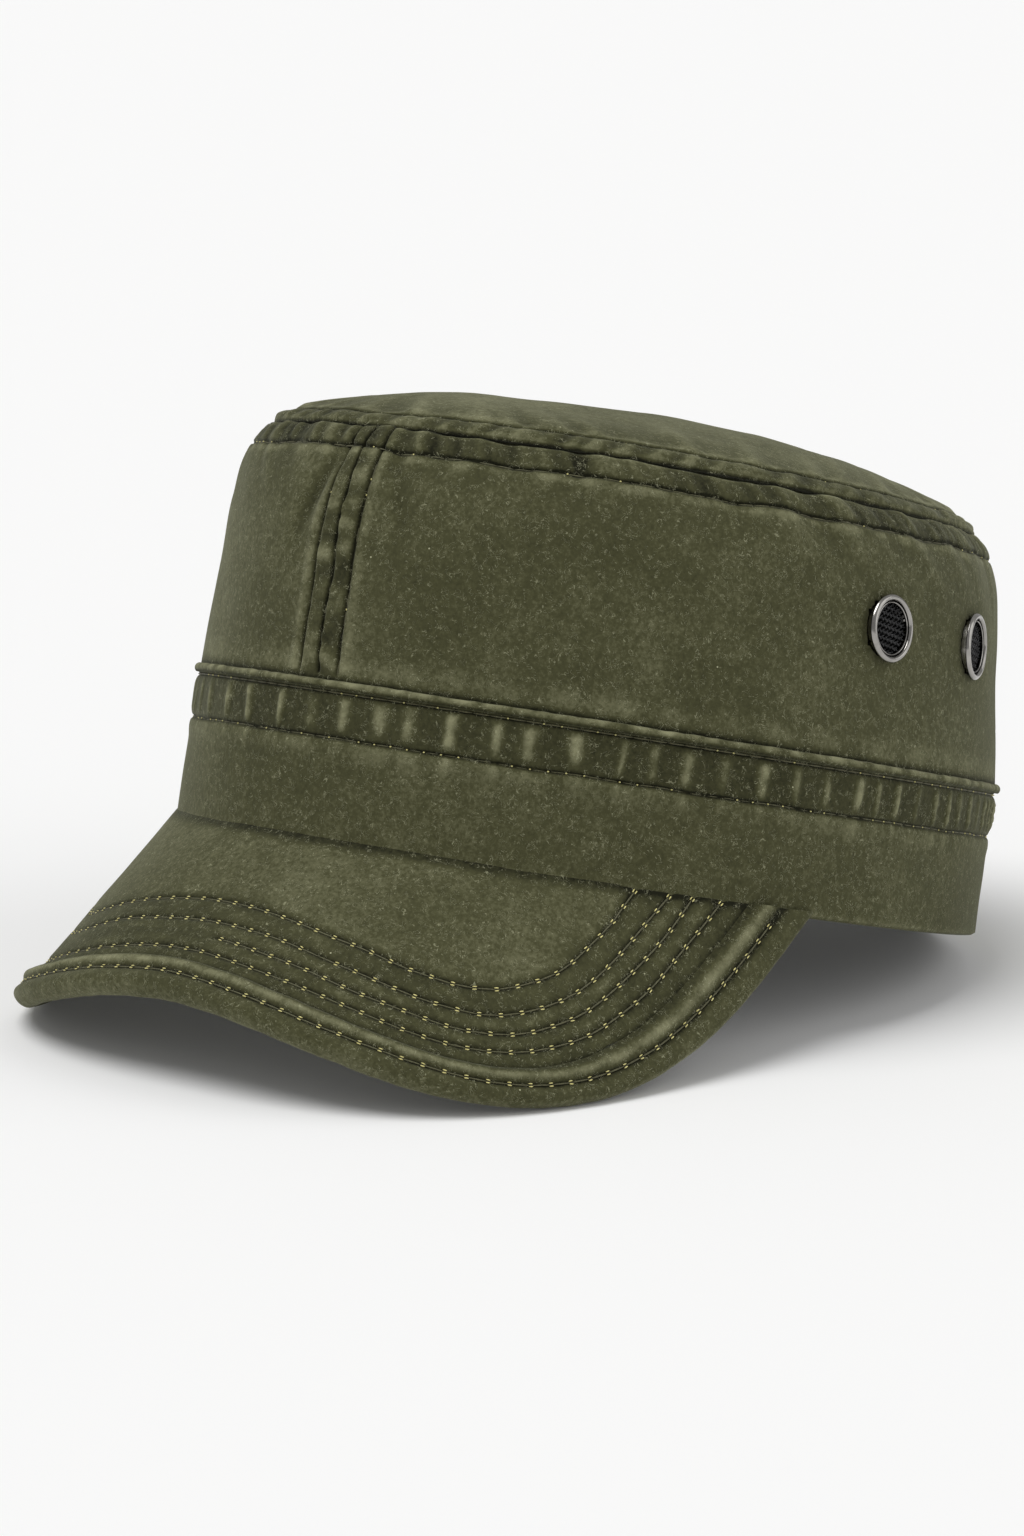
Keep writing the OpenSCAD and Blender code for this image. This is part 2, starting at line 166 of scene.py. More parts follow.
def calculate(tree, operation, first, second=0.0, third=0.0):
    """The socket of a math node."""
    made = add_node(tree, "ShaderNodeMath", {"operation": operation}, i0=first, i1=second, i2=third)
    return made.outputs[0]


def new_finish(name):
    """A material with its node tree, and the place on the piece that its patterns follow."""
    material = bpy.data.materials.new(name)
    material.use_nodes = True
    tree = material.node_tree
    return material, tree, add_node(tree, "ShaderNodeTexCoord").outputs["Object"]


def two_shades(tree, share, dark, light, low=0.0, high=1.0):
    """Colours from dark to light while a share goes from low to high."""
    shades = add_node(tree, "ShaderNodeValToRGB", Fac=share)
    for stop, position, colour in zip(shades.color_ramp.elements, (low, high), (dark, light)):
        stop.position = position
        stop.color = (*colour, 1)
    return shades


def paint(tree, colour, bump, **settings):
    """Links a colour and a bump to the shader, and sets its other inputs."""
    shader = tree.nodes["Principled BSDF"]
    tree.links.new(colour, shader.inputs["Base Color"])
    tree.links.new(bump.outputs["Normal"], shader.inputs["Normal"])
    for name, value in settings.items():
        shader.inputs[name.replace("_", " ")].default_value = value
    return shader


def washed_cotton(name, deep_colour, colour, faded_colour, lint_colour, fibres=1.0):
    """A washed cotton finish in three shades of one colour."""
    material, tree, place = new_finish(name)

    def clouds(scale, detail, roughness, distortion=0.0):
        made = add_node(
            tree,
            "ShaderNodeTexNoise",
            Vector=place,
            Scale=scale,
            Detail=detail,
            Roughness=roughness,
            Distortion=distortion,
        )
        return made.outputs["Fac"]

    broad = clouds(34, 3, 0.55)
    patches = clouds(210, 3, 0.6)
    grain = clouds(1050, 3, 0.75)
    mottle = clouds(560, 2, 0.6, 1.4)
    wear_and_highlight = add_node(tree, "ShaderNodeAttribute", {"attribute_name": "wear_and_highlight"}).outputs["Fac"]
    painted_shade = add_node(tree, "ShaderNodeAttribute", {"attribute_name": "painted_shade"}).outputs["Fac"]

    # curled fibres are where a twisted noise crosses its middle, kept only in scattered places
    curls = clouds(520, 1, 0.5, 2.4)
    off_curl = calculate(tree, "ABSOLUTE", calculate(tree, "SUBTRACT", curls, 0.5))
    curl_line = calculate(tree, "LESS_THAN", off_curl, 0.014)
    kept = calculate(tree, "GREATER_THAN", clouds(640, 0, 0.5), 0.52)
    curl = calculate(tree, "MULTIPLY", curl_line, kept)
    cells = add_node(tree, "ShaderNodeTexVoronoi", Vector=place, Scale=300.0)
    dot = calculate(tree, "LESS_THAN", cells.outputs["Distance"], 0.06)
    chosen = add_node(tree, "ShaderNodeSeparateColor", Color=cells.outputs["Color"])
    lint = calculate(tree, "MULTIPLY", dot, calculate(tree, "GREATER_THAN", chosen.outputs[0], 0.95))

    tone = calculate(tree, "MULTIPLY_ADD", broad, 0.34, -0.17)
    tone = calculate(tree, "ADD", tone, calculate(tree, "MULTIPLY_ADD", patches, 0.22, -0.11))
    tone = calculate(tree, "ADD", tone, calculate(tree, "MULTIPLY_ADD", mottle, 0.22, -0.11))
    tone = calculate(tree, "ADD", tone, calculate(tree, "MULTIPLY_ADD", grain, 0.6, -0.3))
    # the first value lightens the cloth with wear and painted highlight; the second darkens it with
    # painted shade
    tone = calculate(tree, "MULTIPLY_ADD", wear_and_highlight, 0.42, tone)
    tone = calculate(tree, "MULTIPLY_ADD", painted_shade, -0.5, tone)
    tone = calculate(tree, "ADD", tone, 0.5)
    shades = two_shades(tree, tone, deep_colour, faded_colour)
    shades.color_ramp.elements.new(0.5).color = (*colour, 1)

    hairs = calculate(tree, "MAXIMUM", calculate(tree, "MULTIPLY", curl, 0.42 * fibres), lint)
    painted = add_node(
        tree,
        "ShaderNodeMix",
        {"data_type": "RGBA"},
        i0=hairs,
        i6=shades.outputs["Color"],
        i7=(*lint_colour, 1),
    )
    height = calculate(tree, "MULTIPLY_ADD", mottle, 0.5, calculate(tree, "MULTIPLY", patches, 0.5))
    height = calculate(tree, "MULTIPLY_ADD", grain, 0.6, height)
    height = calculate(tree, "MULTIPLY_ADD", curl, 0.25, height)
    bump = add_node(tree, "ShaderNodeBump", Strength=0.55, Distance=0.0004, Height=height)
    paint(
        tree,
        painted.outputs[2],
        bump,
        Roughness=0.93,
        Specular_IOR_Level=0.12,
        Sheen_Weight=0.2,
        Sheen_Roughness=0.4,
        Sheen_Tint=(0.86, 0.88, 0.66, 1),
    )
    return material


olive_cotton = washed_cotton(
    "washed_olive_cotton",
    (0.010, 0.0102, 0.004),
    (0.066, 0.066, 0.030),
    (0.235, 0.233, 0.135),
    (0.42, 0.42, 0.27),
)

# ---- Sewing cloth to shape ----
# A panel is cut as a flat grid and laid point by point over the shape that the cap holds it in.
# Where it has a cut edge, the sheet gets its thickness inward from its outer face.


def take(piece):
    """Selects one piece alone."""
    bpy.ops.object.select_all(action="DESELECT")
    piece.select_set(True)
    bpy.context.view_layer.objects.active = piece


def lay_panel(name, stations, levels, form):
    """A grid laid over a shape: form(station, level) gives its place, its wear and painted
    highlight, and its painted shade.
    """
    bpy.ops.object.select_all(action="DESELECT")
    columns, rows = len(stations) - 1, len(levels) - 1
    bpy.ops.mesh.primitive_grid_add(x_subdivisions=columns, y_subdivisions=rows, size=2)
    panel = bpy.context.object
    panel.name = panel.data.name = name
    mesh = panel.data
    wear_and_highlight = mesh.attributes.new("wear_and_highlight", "FLOAT", "POINT")
    painted_shade = mesh.attributes.new("painted_shade", "FLOAT", "POINT")
    for vertex in mesh.vertices:
        station = stations[round((vertex.co.x + 1) / 2 * columns)]
        level = levels[round((vertex.co.y + 1) / 2 * rows)]
        vertex.co, wear_and_highlight.data[vertex.index].value, painted_shade.data[vertex.index].value = form(
            station, level
        )
    return panel


def weld(piece, close_ends=True):
    """Joins the points of a piece that lie on each other, and closes its open ends."""
    take(piece)
    bpy.ops.object.mode_set(mode="EDIT")
    bpy.ops.mesh.select_all(action="SELECT")
    bpy.ops.mesh.remove_doubles(threshold=0.01)
    if close_ends:
        bpy.ops.mesh.fill_holes(sides=0)
        bpy.ops.mesh.select_all(action="SELECT")
        bpy.ops.mesh.normals_make_consistent(inside=False)
    bpy.ops.object.mode_set(mode="OBJECT")


def thicken(panel, thickness):
    """Gives a sheet its thickness, inward from its outer face."""
    take(panel)
    solidify = panel.modifiers.new("thickness", "SOLIDIFY")
    solidify.thickness = thickness
    solidify.offset = -1
    bpy.ops.object.modifier_apply(modifier="thickness")


def finish_piece(piece, material, body="cap", slot="olive_cotton", replaces=()):
    """Sets an upright piece down the way the cap rests, with its finish and body. Its slot is not
    used.
    """
    take(piece)
    piece.data.transform(to_rest)
    piece.data.materials.clear()
    piece.data.materials.append(material)
    bpy.ops.object.shade_smooth_by_angle(angle=math.radians(50))
    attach(piece, body)
    if replaces:
        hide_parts(*replaces)
    return piece


def sew_strip(name, stations, section, form, material, **how):
    """A closed strip: form(station, level) lays out its cross-section, one level per point."""
    strip = lay_panel(name, stations, range(len(section)), form)
    weld(strip)
    return finish_piece(strip, material, **how)


def even_steps(place, first, last, spacing):
    """Values from first to last whose places lie evenly apart along a curve."""
    parts = 1500
    values = [first + (last - first) * i / parts for i in range(parts + 1)]
    places = [place(v) for v in values]
    lengths = [0.0]
    for here, there in zip(places, places[1:]):
        lengths.append(lengths[-1] + (there - here).length)
    count = max(1, round(lengths[-1] / spacing))
    steps, k = [], 0
    for i in range(count + 1):
        goal = lengths[-1] * i / count
        while k < parts - 1 and lengths[k + 1] < goal:
            k += 1
        span = lengths[k + 1] - lengths[k]
        share = (goal - lengths[k]) / span if span else 0
        steps.append(values[k] + (values[k + 1] - values[k]) * min(1, share))
    return steps


def spread(*stops):
    """Levels that run through stops, each given with the spacing up to the next one."""
    levels = []
    for (low, spacing), (high, _) in zip(stops, stops[1:]):
        count = max(1, round(abs(high - low) / spacing))
        levels += [low + (high - low) * i / count for i in range(count)]
    return levels + [stops[-1][0]]


def ridge(distance, width):
    """A soft ridge, 1 high at distance 0."""
    return math.exp(-((distance / width) ** 2))


def ease(value, low, high):
    """0 below low, 1 above high, smooth between."""
    share = min(1.0, max(0.0, (value - low) / (high - low)))
    return share * share * (3 - 2 * share)


def cloudy(place, size, seed=0.0):
    """Noise from -1 to 1 with features of about a size."""
    return noise.noise(place / size + Vector((seed, seed * 1.7, -seed)))


mean_radius = 96  # of the rim, near enough


def round_noise(angle, size, seed=0.0, height=0.0):
    """The same round the cap, with no join at the back."""
    radius = mean_radius / size
    return noise.noise(
        Vector((radius * math.sin(angle) + seed, radius * math.cos(angle) - seed, height))
    )


# ---- Crown walls ----
# Two half walls of cotton, joined by a felled seam down the front and another down the back, and
# tucked behind the band. Each leans in a little and rolls over at the shoulder, where a row of
# stitches pulls a puckered strip tight under the top seam.

wall_inset = 0.4  # where the wall stands over the band
wall_tuck = cloth + layer_gap  # where it goes down behind the band
wall_foot = 24.0
lean_length = 4.4
lean_width = 5.4
shoulder_length = 3.0
shoulder_width = 7.0
front_roll = 6.0
top_shift = 4.8
opening_half_width = 30.0
opening_sides = 16.0
tape_reach = 2.5  # how far the cloth goes into the tape round the back opening
felled_half = 5.2  # from the middle of a felled seam to its outer rows
arch_width = 5.0  # of the tape round the back opening
wall_half_width = half_width - 4  # half way up, near enough


def rise(height):
    return max(0.0, (height - band_height) / (seam_height - band_height))


def wall_insets(base, up):
    """Insets of the wall along and across the cap, at a share of the way up from the band."""
    return (
        base + lean_length * up + shoulder_length * up**8,
        base + lean_width * up + shoulder_width * up**8,
    )


def wall_place(angle, height):
    """A place on the smooth outer face of the wall."""
    up = rise(height)
    base = wall_tuck + (wall_inset - wall_tuck) * ease(height, band_height - 2.6, band_height - 0.6)
    in_length, in_width = wall_insets(base, up)
    roll = front_roll * max(0.0, math.cos(angle)) ** 3 * up**6
    return Vector(
        (
            (half_width - in_width) * math.sin(angle),
            roll - top_shift * up - (half_length - in_length) * math.cos(angle),
            height,
        )
    )


def outward(place, angle, height):
    """The direction straight out of a shape at a place on it."""
    round_step = place(angle + 0.01, height) - place(angle - 0.01, height)
    up_step = place(angle, height + 0.2) - place(angle, height - 0.2)
    return round_step.cross(up_step).normalized()


def from_middle(angle):
    """Distance round the wall from the middle of the front, or of the back behind the ears."""
    near = angle if abs(angle) < math.pi / 2 else math.copysign(math.pi, angle) - angle
    return math.sin(near) * wall_half_width


def top_row_height(angle):
    """Height of the stitches under the top seam, which wander a little."""
    return (
        seam_height
        - 5.3
        + 0.75 * round_noise(angle, 11, 3.1)
        + 0.35 * round_noise(angle, 4.5, 8.2)
    )


def seam_wander(height, row_middle):
    """How far a row beside the front or back seam wanders sideways."""
    return 0.9 * noise.noise(Vector((height / 11, 0.5 * row_middle, 0.5)))


def wall_shape(angle, height):
    """How far the wall stands out from its smooth shape, its wear and painted highlight, and its
    painted shade.
    """
    place = wall_place(angle, height)
    row = top_row_height(angle)
    above, below = max(0.0, height - row), max(0.0, row - height)
    middle = from_middle(angle)
    off_middle = abs(middle)
    free = ease(height, band_height, band_height + 14)

    stand = 0.7 * cloudy(place, 34) * free + 0.22 * cloudy(place, 11, 4) * free
    # soft folds under the top seam: crests paler from wear and painted highlight, painted shade in
    # the hollows
    folds = round_noise(angle + 0.012 * below * math.sin(3 * angle), 6.5, 5.5, height / 60)
    stand += 0.85 * folds * math.exp(-below / 9) * ease(height, 60, seam_height - 9)
    wear_and_highlight = 0.4 * max(0, folds) * math.exp(-below / 6) * ease(height, 60, seam_height - 9)
    painted_shade = 0.55 * max(0, -folds) * math.exp(-below / 7) * ease(height, 60, seam_height - 9)

    # the strip between the row and the top seam is drawn up into small puckers, paler on top from
    # wear and painted highlight, with painted shade over the strip and in the hollows
    if above:
        share = above / (seam_height - row)
        pucker = round_noise(angle + 0.006 * above, 3.0, 1.3, height / 20)
        stand += math.sin(math.pi * min(1, share)) * (0.3 + 0.8 * pucker)
        wear_and_highlight += 0.95 * max(0, pucker) + 0.6 * ridge(share - 0.93, 0.12)
        painted_shade += 0.3 + 0.9 * max(0, -pucker)
    # painted shade in the stitched groove and the top seam; just below the row the cloth is paler
    # from wear and painted highlight
    groove = ridge(height - row, 0.4)
    stand -= 0.6 * groove
    painted_shade += 1.3 * groove
    wear_and_highlight += 0.6 * ridge(below - 1.5, 1.0) * (0.6 + 1.2 * round_noise(angle, 4, 6)) * (below > 0)
    seam = ridge(height - seam_height, 0.36)
    stand -= 0.6 * seam
    painted_shade += 1.5 * seam
    # slack cloth falls in two folds from the top, one on each side of the front seam, with painted
    # shade in each fold
    for foot, head, strength in ((-12.5, -6.5, 1.0), (17.0, 10.5, 0.55)):
        if abs(angle) < 0.5 and height > 58:
            drop = ease(height, 60, 76) * ease(seam_height - height, 3.5, 7)
            off = middle - (foot + (head - foot) * ease(height, 66, 90))
            stand -= 1.5 * strength * drop * ridge(off, 2.6)
            stand += 0.9 * strength * drop * ridge(off + math.copysign(4.6, off), 2.0)
            painted_shade += 0.5 * strength * drop * ridge(off, 2.2)

    # three rows down the front and the back, with puckered strips between them: painted shade in the
    # rows and the hollows, crests and the cloth beside the seam paler from wear and painted
    # highlight
    if off_middle < 14:
        gather = 1.7 * noise.noise(Vector((middle / 7, height / 3.6, 2.0 if middle > 0 else 7.0)))
        fold = ease(height, band_height + 0.5, band_height + 2)
        strip = ease(felled_half - off_middle, 0, 1.2)
        stand += fold * strip * (0.42 + 0.4 * gather)
        wear_and_highlight += fold * strip * max(0, gather) * 0.7
        painted_shade += fold * strip * (0.16 + 0.5 * max(0, -gather))
        for row_middle, depth in ((felled_half, 0.75), (0.0, 0.95)):
            wander = seam_wander(height, row_middle)
            line = ridge(middle - math.copysign(row_middle, middle) - wander, 0.38)
            stand -= fold * depth * line
            painted_shade += fold * 1.25 * line
        beside = ridge(off_middle - felled_half - 2.1, 1.3)
        stand += 0.35 * beside * fold
        wear_and_highlight += (0.34 + 0.3 * gather) * beside * fold
    # painted shade along the line where the wall meets the band's roll, and a paler strip above it
    # from wear and painted highlight
    painted_shade += 0.9 * ridge(height - band_height - 0.2, 0.7)
    above_band = ridge(height - band_height - 3.2, 2.4)
    wear_and_highlight += above_band * (0.26 + 0.3 * round_noise(angle, 7, 2.2))
    return stand, wear_and_highlight, painted_shade


def wall_form(angle, height):
    """A place on the finished wall, with its wear and painted highlight and its painted shade. Past
    the seam it turns in.
    """
    tucked = max(0.0, height - seam_height)
    height = min(height, seam_height)
    stand, wear_and_highlight, painted_shade = wall_shape(angle, height)
    place = wall_place(angle, height) + stand * outward(wall_place, angle, height)
    if tucked:
        middle = Vector((0, -top_shift, seam_height))
        place += (middle - place).normalized() * 1.6 * tucked - Vector((0, 0, 0.3 * tucked))
    return place, wear_and_highlight, painted_shade


def back_end(height, grow=0.0, inset=0.0):
    """Angle at which a layer ends in the tape round the back opening."""
    radius = opening_half_width + tape_reach + grow
    over = max(0.0, height - opening_sides)
    reach = math.sqrt(max(0.0, radius**2 - over**2))
    return math.pi - math.asin(min(1.0, reach / (half_width - inset)))


wide_steps = even_steps(lambda share: wall_place(share * math.pi, 60), 0, 1, 1.05)
close_steps = even_steps(lambda share: wall_place(share * math.pi, 60), 0, 1, 0.38)
wall_stations = [s for s in close_steps if s < 0.04]
wall_stations += [s for s in wide_steps if 0.04 <= s <= 0.96]
wall_stations += [s for s in close_steps if s > 0.96]
wall_levels = spread(
    (wall_foot, 3.5),
    (band_height - 2.5, 0.7),
    (band_height + 5, 1.15),
    (seam_height - 12, 0.75),
    (seam_height - 8, 0.34),
    (seam_height, 0.5),
    (seam_height + 1, 1),
)
eyelet_drop = 27  # under the top seam
eyelet_height = seam_height - eyelet_drop
eyelet_turn = math.radians(4)
eyelet_angles = (math.radians(84), math.radians(106))
barrel_radius = 5.8


def eyelet_seat(side, angle):
    """Turns an eyelet's own upright shape to its place on the wall."""
    up = rise(eyelet_height)
    length = half_length - wall_inset - lean_length * up
    width = half_width - wall_inset - lean_width * up
    heading = math.atan2(-math.cos(angle) / length, side * math.sin(angle) / width)
    lean = math.atan(lean_width / (seam_height - band_height))
    return (
        Matrix.Translation(wall_place(side * angle, eyelet_height))
        @ Matrix.Rotation(heading + side * eyelet_turn, 4, "Z")
        @ Matrix.Rotation(math.pi / 2 - lean, 4, "Y")
    )


def punch(panel, seat, radius):
    """Takes a round hole out of a panel, and draws the points beside it onto the circle."""
    reach = 0.6  # how far a point may be drawn
    into = seat.inverted()
    work = bmesh.new()
    work.from_mesh(panel.data)
    inner = []
    for point in work.verts:
        local = into @ point.co
        across = math.hypot(local.x, local.y)
        if abs(local.z) > 6 or across > radius + reach:
            continue
        if across < radius - reach:
            inner.append(point)
        else:
            local.x, local.y = local.x * radius / across, local.y * radius / across
            point.co = seat @ local
    bmesh.ops.delete(work, geom=inner, context="VERTS")
    work.to_mesh(panel.data)
    work.free()


for side, side_name in ((1, "left"), (-1, "right")):

    def panel_form(share, height, side=side):
        end = back_end(height, inset=wall_tuck + lean_width * rise(height))
        return wall_form(side * share * end, height)

    shares = wall_stations if side > 0 else wall_stations[::-1]
    wall = lay_panel(f"wall_{side_name}", shares, wall_levels, panel_form)
    for angle in eyelet_angles:
        punch(wall, eyelet_seat(side, angle), barrel_radius + 0.9)
    thicken(wall, cloth)
    finish_piece(wall, olive_cotton, replaces=[f"crown_wall_{side_name}"])

# ---- Crown top ----
# One panel of cotton, domed, with its edge sewn down over the top of the walls. A second row of
# stitches runs a little inside the seam, and soft creases run from it toward the middle.

top_length = half_length - wall_inset - lean_length - shoulder_length
top_width = half_width - wall_inset - lean_width - shoulder_width
dome_run = 93  # over the dome from its edge to its middle, near enough
edge_turn = 1.9  # of that run, where the dome turns steeply up from its edge


def dome_place(angle, share):
    """A place on the smooth dome, from its edge at share 1 to its middle at share 0."""
    roll = front_roll * max(0.0, math.cos(angle)) ** 3
    lift = max(0.0, 1 - share**2.5) ** (1 / 1.5)
    return Vector(
        (
            top_width * share * math.sin(angle),
            roll * share - top_shift - top_length * share * math.cos(angle),
            seam_height + dome_rise * lift,
        )
    )


def dome_outward(angle, share):
    """The direction straight out of the dome. At its middle it is straight up."""
    if share < 0.03:
        return Vector((0, 0, 1))
    round_step = dome_place(angle + 0.01, share) - dome_place(angle - 0.01, share)
    in_step = dome_place(angle, share - 0.008) - dome_place(angle, min(1, share + 0.008))
    return round_step.cross(in_step).normalized()


def from_edge(share):
    """Distance over the dome from its edge, near enough."""
    return (1 - share) * dome_run + edge_turn * ease(1 - share, 0, 0.02)


def upper_row(angle):
    """Distance from the edge to the upper row of stitches."""
    return 6.1 + 0.8 * round_noise(angle, 12, 6.1) + 0.35 * round_noise(angle, 4.5, 2.4)


def dome_shape(angle, share):
    """How far the dome stands out from its smooth shape, its wear and painted highlight, and its
    painted shade.
    """
    place = dome_place(angle, share)
    edge = from_edge(share)
    row = upper_row(angle)
    inside = max(0.0, edge - row)
    stand = 1.1 * cloudy(place, 42, 2) * ease(edge, 8, 30) + 0.3 * cloudy(place, 15, 5)
    crease = round_noise(angle + 0.01 * inside * math.sin(2 * angle + 1), 7, 4.4, inside / 45)
    fade = math.exp(-inside / 13) * ease(edge, row, row + 3)
    stand += 1.1 * crease * fade
    # crease crests paler from wear and painted highlight with painted shade in the hollows; the dome
    # away from its edge is paler too, from wear and a painted highlight of the light above
    wear_and_highlight = 0.9 * max(0, crease) * fade + 0.22 * ease(edge, 8, 20)
    painted_shade = 0.7 * max(0, -crease) * fade
    rumple = abs(cloudy(place, 26, 9))
    faint = ridge(rumple, 0.1) * ease(edge, 12, 26) * max(0.0, 0.35 + cloudy(place, 30, 3))
    wear_and_highlight += 0.22 * faint
    stand += 0.35 * faint
    if edge < row:
        part = edge / row
        pucker = round_noise(angle - 0.005 * edge, 3.4, 7.7, edge / 9)
        stand += math.sin(math.pi * part) * (0.4 + 0.9 * pucker)
        wear_and_highlight += 0.9 * max(0, pucker) + 0.6 * ridge(part - 0.12, 0.12)
        painted_shade += 0.1 + 0.8 * max(0, -pucker)
    # painted shade in the stitched groove and the seam
    groove = ridge(edge - row, 0.42)
    stand -= 0.65 * groove
    painted_shade += 1.3 * groove
    wear_and_highlight += 0.5 * ridge(edge - row - 1.8, 1.2) * (0.6 + round_noise(angle, 5, 1))
    seam = ridge(edge, 0.45)
    painted_shade += 1.2 * seam
    stand -= 0.3 * seam
    return stand, wear_and_highlight, painted_shade


def dome_form(angle, share):
    """A place on the finished dome. Past share 1 the edge turns in under itself."""
    tucked = max(0.0, share - 1)
    share = min(share, 1.0)
    stand, wear_and_highlight, painted_shade = dome_shape(angle, share)
    place = dome_place(angle, share) + stand * dome_outward(angle, share)
    if tucked:
        middle = Vector((0, -top_shift, seam_height))
        place += (middle - place).normalized() * 1.4 * tucked + Vector((0, 0, -0.35 * tucked))
    return place, wear_and_highlight, painted_shade


round_stations = even_steps(lambda a: dome_place(a, 1), -math.pi, math.pi, 1.25)
dome_levels = [2.0, 1.4] + [
    1 - s for s in spread((0, 0.004), (0.09, 0.009), (0.2, 0.02), (0.94, 0.06), (1.0, 1))
]
top = lay_panel("crown_top_panel", round_stations, dome_levels, dome_form)
weld(top, close_ends=False)
thicken(top, cloth)
finish_piece(top, olive_cotton, replaces=["crown_top"])

# ---- Band ----
# A long strip of cotton round the rim. Its lower edge turns in under the sweatband, and its upper
# edge is folded into a roll. Two rows of stitches hold it, and the strip between them is drawn into
# short upright creases, paler on their ridges from wear and painted highlight, with painted shade
# between them.

flange_inset = 5.4
flange_height = 1.2
roll_radius = 1.1
roll_inset = 0.15
lower_row_height = 23.5
upper_row_height = band_height - 2.55


def rim_place(angle, inset, height):
    """A place at an even inset from the rim's outline."""
    return Vector(
        (
            (half_width - inset) * math.sin(angle),
            -(half_length - inset) * math.cos(angle),
            height,
        )
    )


def rim_outward(angle):
    return Vector((math.sin(angle) / half_width, -math.cos(angle) / half_length, 0)).normalized()


def lower_row(angle):
    return lower_row_height + 0.3 * round_noise(angle, 9, 1.5)


band_creases = []  # angle, slant, half width and strength of each crease in the strip
crease_angle = -math.pi + 0.02
while crease_angle < math.pi - 0.02:
    chance = [noise.noise(Vector((crease_angle * 31, k * 7.3, 4.1))) for k in range(4)]
    half = (1.5 - 0.4 * abs(crease_angle)) * (1 + 0.7 * chance[1])
    band_creases.append((crease_angle, 1.6 * chance[0], max(0.7, half), 0.9 + 0.9 * chance[2]))
    crease_angle += (11.0 - 2.6 * abs(crease_angle)) * (1 + 0.55 * chance[3]) / mean_radius

crease_centres = [crease[0] for crease in band_creases]


def crease_at(angle, middle):
    """How strongly the strip is creased, at a share of the way up it."""
    crease = 0.0
    first = bisect.bisect(crease_centres, angle)
    for centre, slant, half, strength in band_creases[max(0, first - 2) : first + 2]:
        off = (angle - centre) * mean_radius + slant * (middle - 0.5)
        bulge = 0.85 + 0.6 * noise.noise(Vector((middle * 3.3, centre * 17, 1.2)))
        crease += strength * bulge * ridge(off, half * (0.8 + 0.4 * middle))
    return min(1.2, max(0.0, crease))


def band_shape(angle, height):
    """How far the outer face of the band stands out, its wear and painted highlight, and its painted
    shade.
    """
    place = rim_place(angle, 0, height)
    low = lower_row(angle)
    stand = 0.35 * cloudy(place, 30, 3) + 0.12 * cloudy(place, 9, 7)
    wear_and_highlight, painted_shade = 0.0, 0.0
    if height < low:
        hem = round_noise(angle, 6, 9.5, height / 40)
        wear_and_highlight += 0.34 * ridge(low - height - 2.6, 2.4) * (0.55 + hem)
        wear_and_highlight += 0.35 * ridge(height - 0.4, 1.0)
        wear_and_highlight += 0.4 * crease_at(angle, 0) * ridge(low - height - 1.5, 2.2)
        stand += 0.25 * ridge(low - height - 2.2, 1.6)
    elif height < upper_row_height:
        middle = (height - low) / (upper_row_height - low)
        crease = crease_at(angle, middle) * ease(middle, 0.0, 0.3) * ease(1 - middle, 0.0, 0.25)
        # crease ridges paler from wear and painted highlight, painted shade between them
        stand += 0.75 * crease - 0.15
        wear_and_highlight += 1.1 * crease
        painted_shade += 0.4 * max(0.0, 1 - crease)
    # painted shade in the two stitched grooves
    for row, depth in ((low, 0.6), (upper_row_height, 0.45)):
        groove = ridge(height - row, 0.42)
        stand -= depth * groove
        painted_shade += 1.1 * groove
    return stand, wear_and_highlight, painted_shade


def band_roll(angle, turn):
    """The rolled upper edge, at a turn from straight out (0) over the top to straight in (pi)."""
    lumps = 0.16 * round_noise(angle, 2.7, 3.3) + 0.2 * round_noise(angle, 12, 6.8)
    radius = roll_radius + lumps
    place = rim_place(angle, roll_inset, band_height - roll_radius)
    place += rim_outward(angle) * radius * math.cos(turn) + Vector((0, 0, radius * math.sin(turn)))
    # painted highlight on the top of the roll, and painted shade under it and on its inner side
    top_light = ridge(turn - 0.9, 1.0)
    wear_and_highlight = (0.62 + 1.2 * round_noise(angle, 3.2, 3.3)) * top_light
    return place, wear_and_highlight, 1.3 * ridge(turn - 2.3, 0.6) + 0.8 * ridge(turn + 0.75, 0.35)


band_levels = [("in", flange_inset, 0.3), ("in", 3.2, 0.1), ("in", 1.5, 0.05), ("in", 0.5, 0.2)]
outer_heights = spread(
    (0.8, 0.75),
    (21.5, 0.45),
    (25, 0.75),
    (upper_row_height - 1.5, 0.35),
    (upper_row_height + 0.5, 1),
)
band_levels += [("out", 0, z) for z in outer_heights]
band_levels += [("roll", math.radians(t), 0) for t in range(-50, 181, 21)]
band_levels += [("in", cloth, z) for z in (upper_row_height, 26, 14, flange_height)]
band_levels += [("in", flange_inset, flange_height), band_levels[0]]


def band_form(share, level):
    """A place on the band. A level is a part of its section, with an inset or turn and a height."""
    kind, value, height = level
    reached = height if kind != "roll" else band_height - roll_radius
    angle = share * back_end(reached)
    if kind == "out":
        stand, wear_and_highlight, painted_shade = band_shape(angle, height)
        return rim_place(angle, value, height) + stand * rim_outward(angle), wear_and_highlight, painted_shade
    if kind == "roll":
        return band_roll(angle, value)
    # the hidden inner faces get a little painted shade
    return rim_place(angle, value, height), 0.0, 0.3


band_stations = even_steps(lambda share: rim_place(share * math.pi, 0, 0), -1, 1, 0.75)
band = lay_panel("band", band_stations, band_levels, band_form)
weld(band)
finish_piece(band, olive_cotton, replaces=["hat_band"])

# ---- Peak ----
# A stiff board between an upper and a lower cover of cotton, bent across the front and falling
# away from the band. Four rows of stitches follow its edge through all three layers.

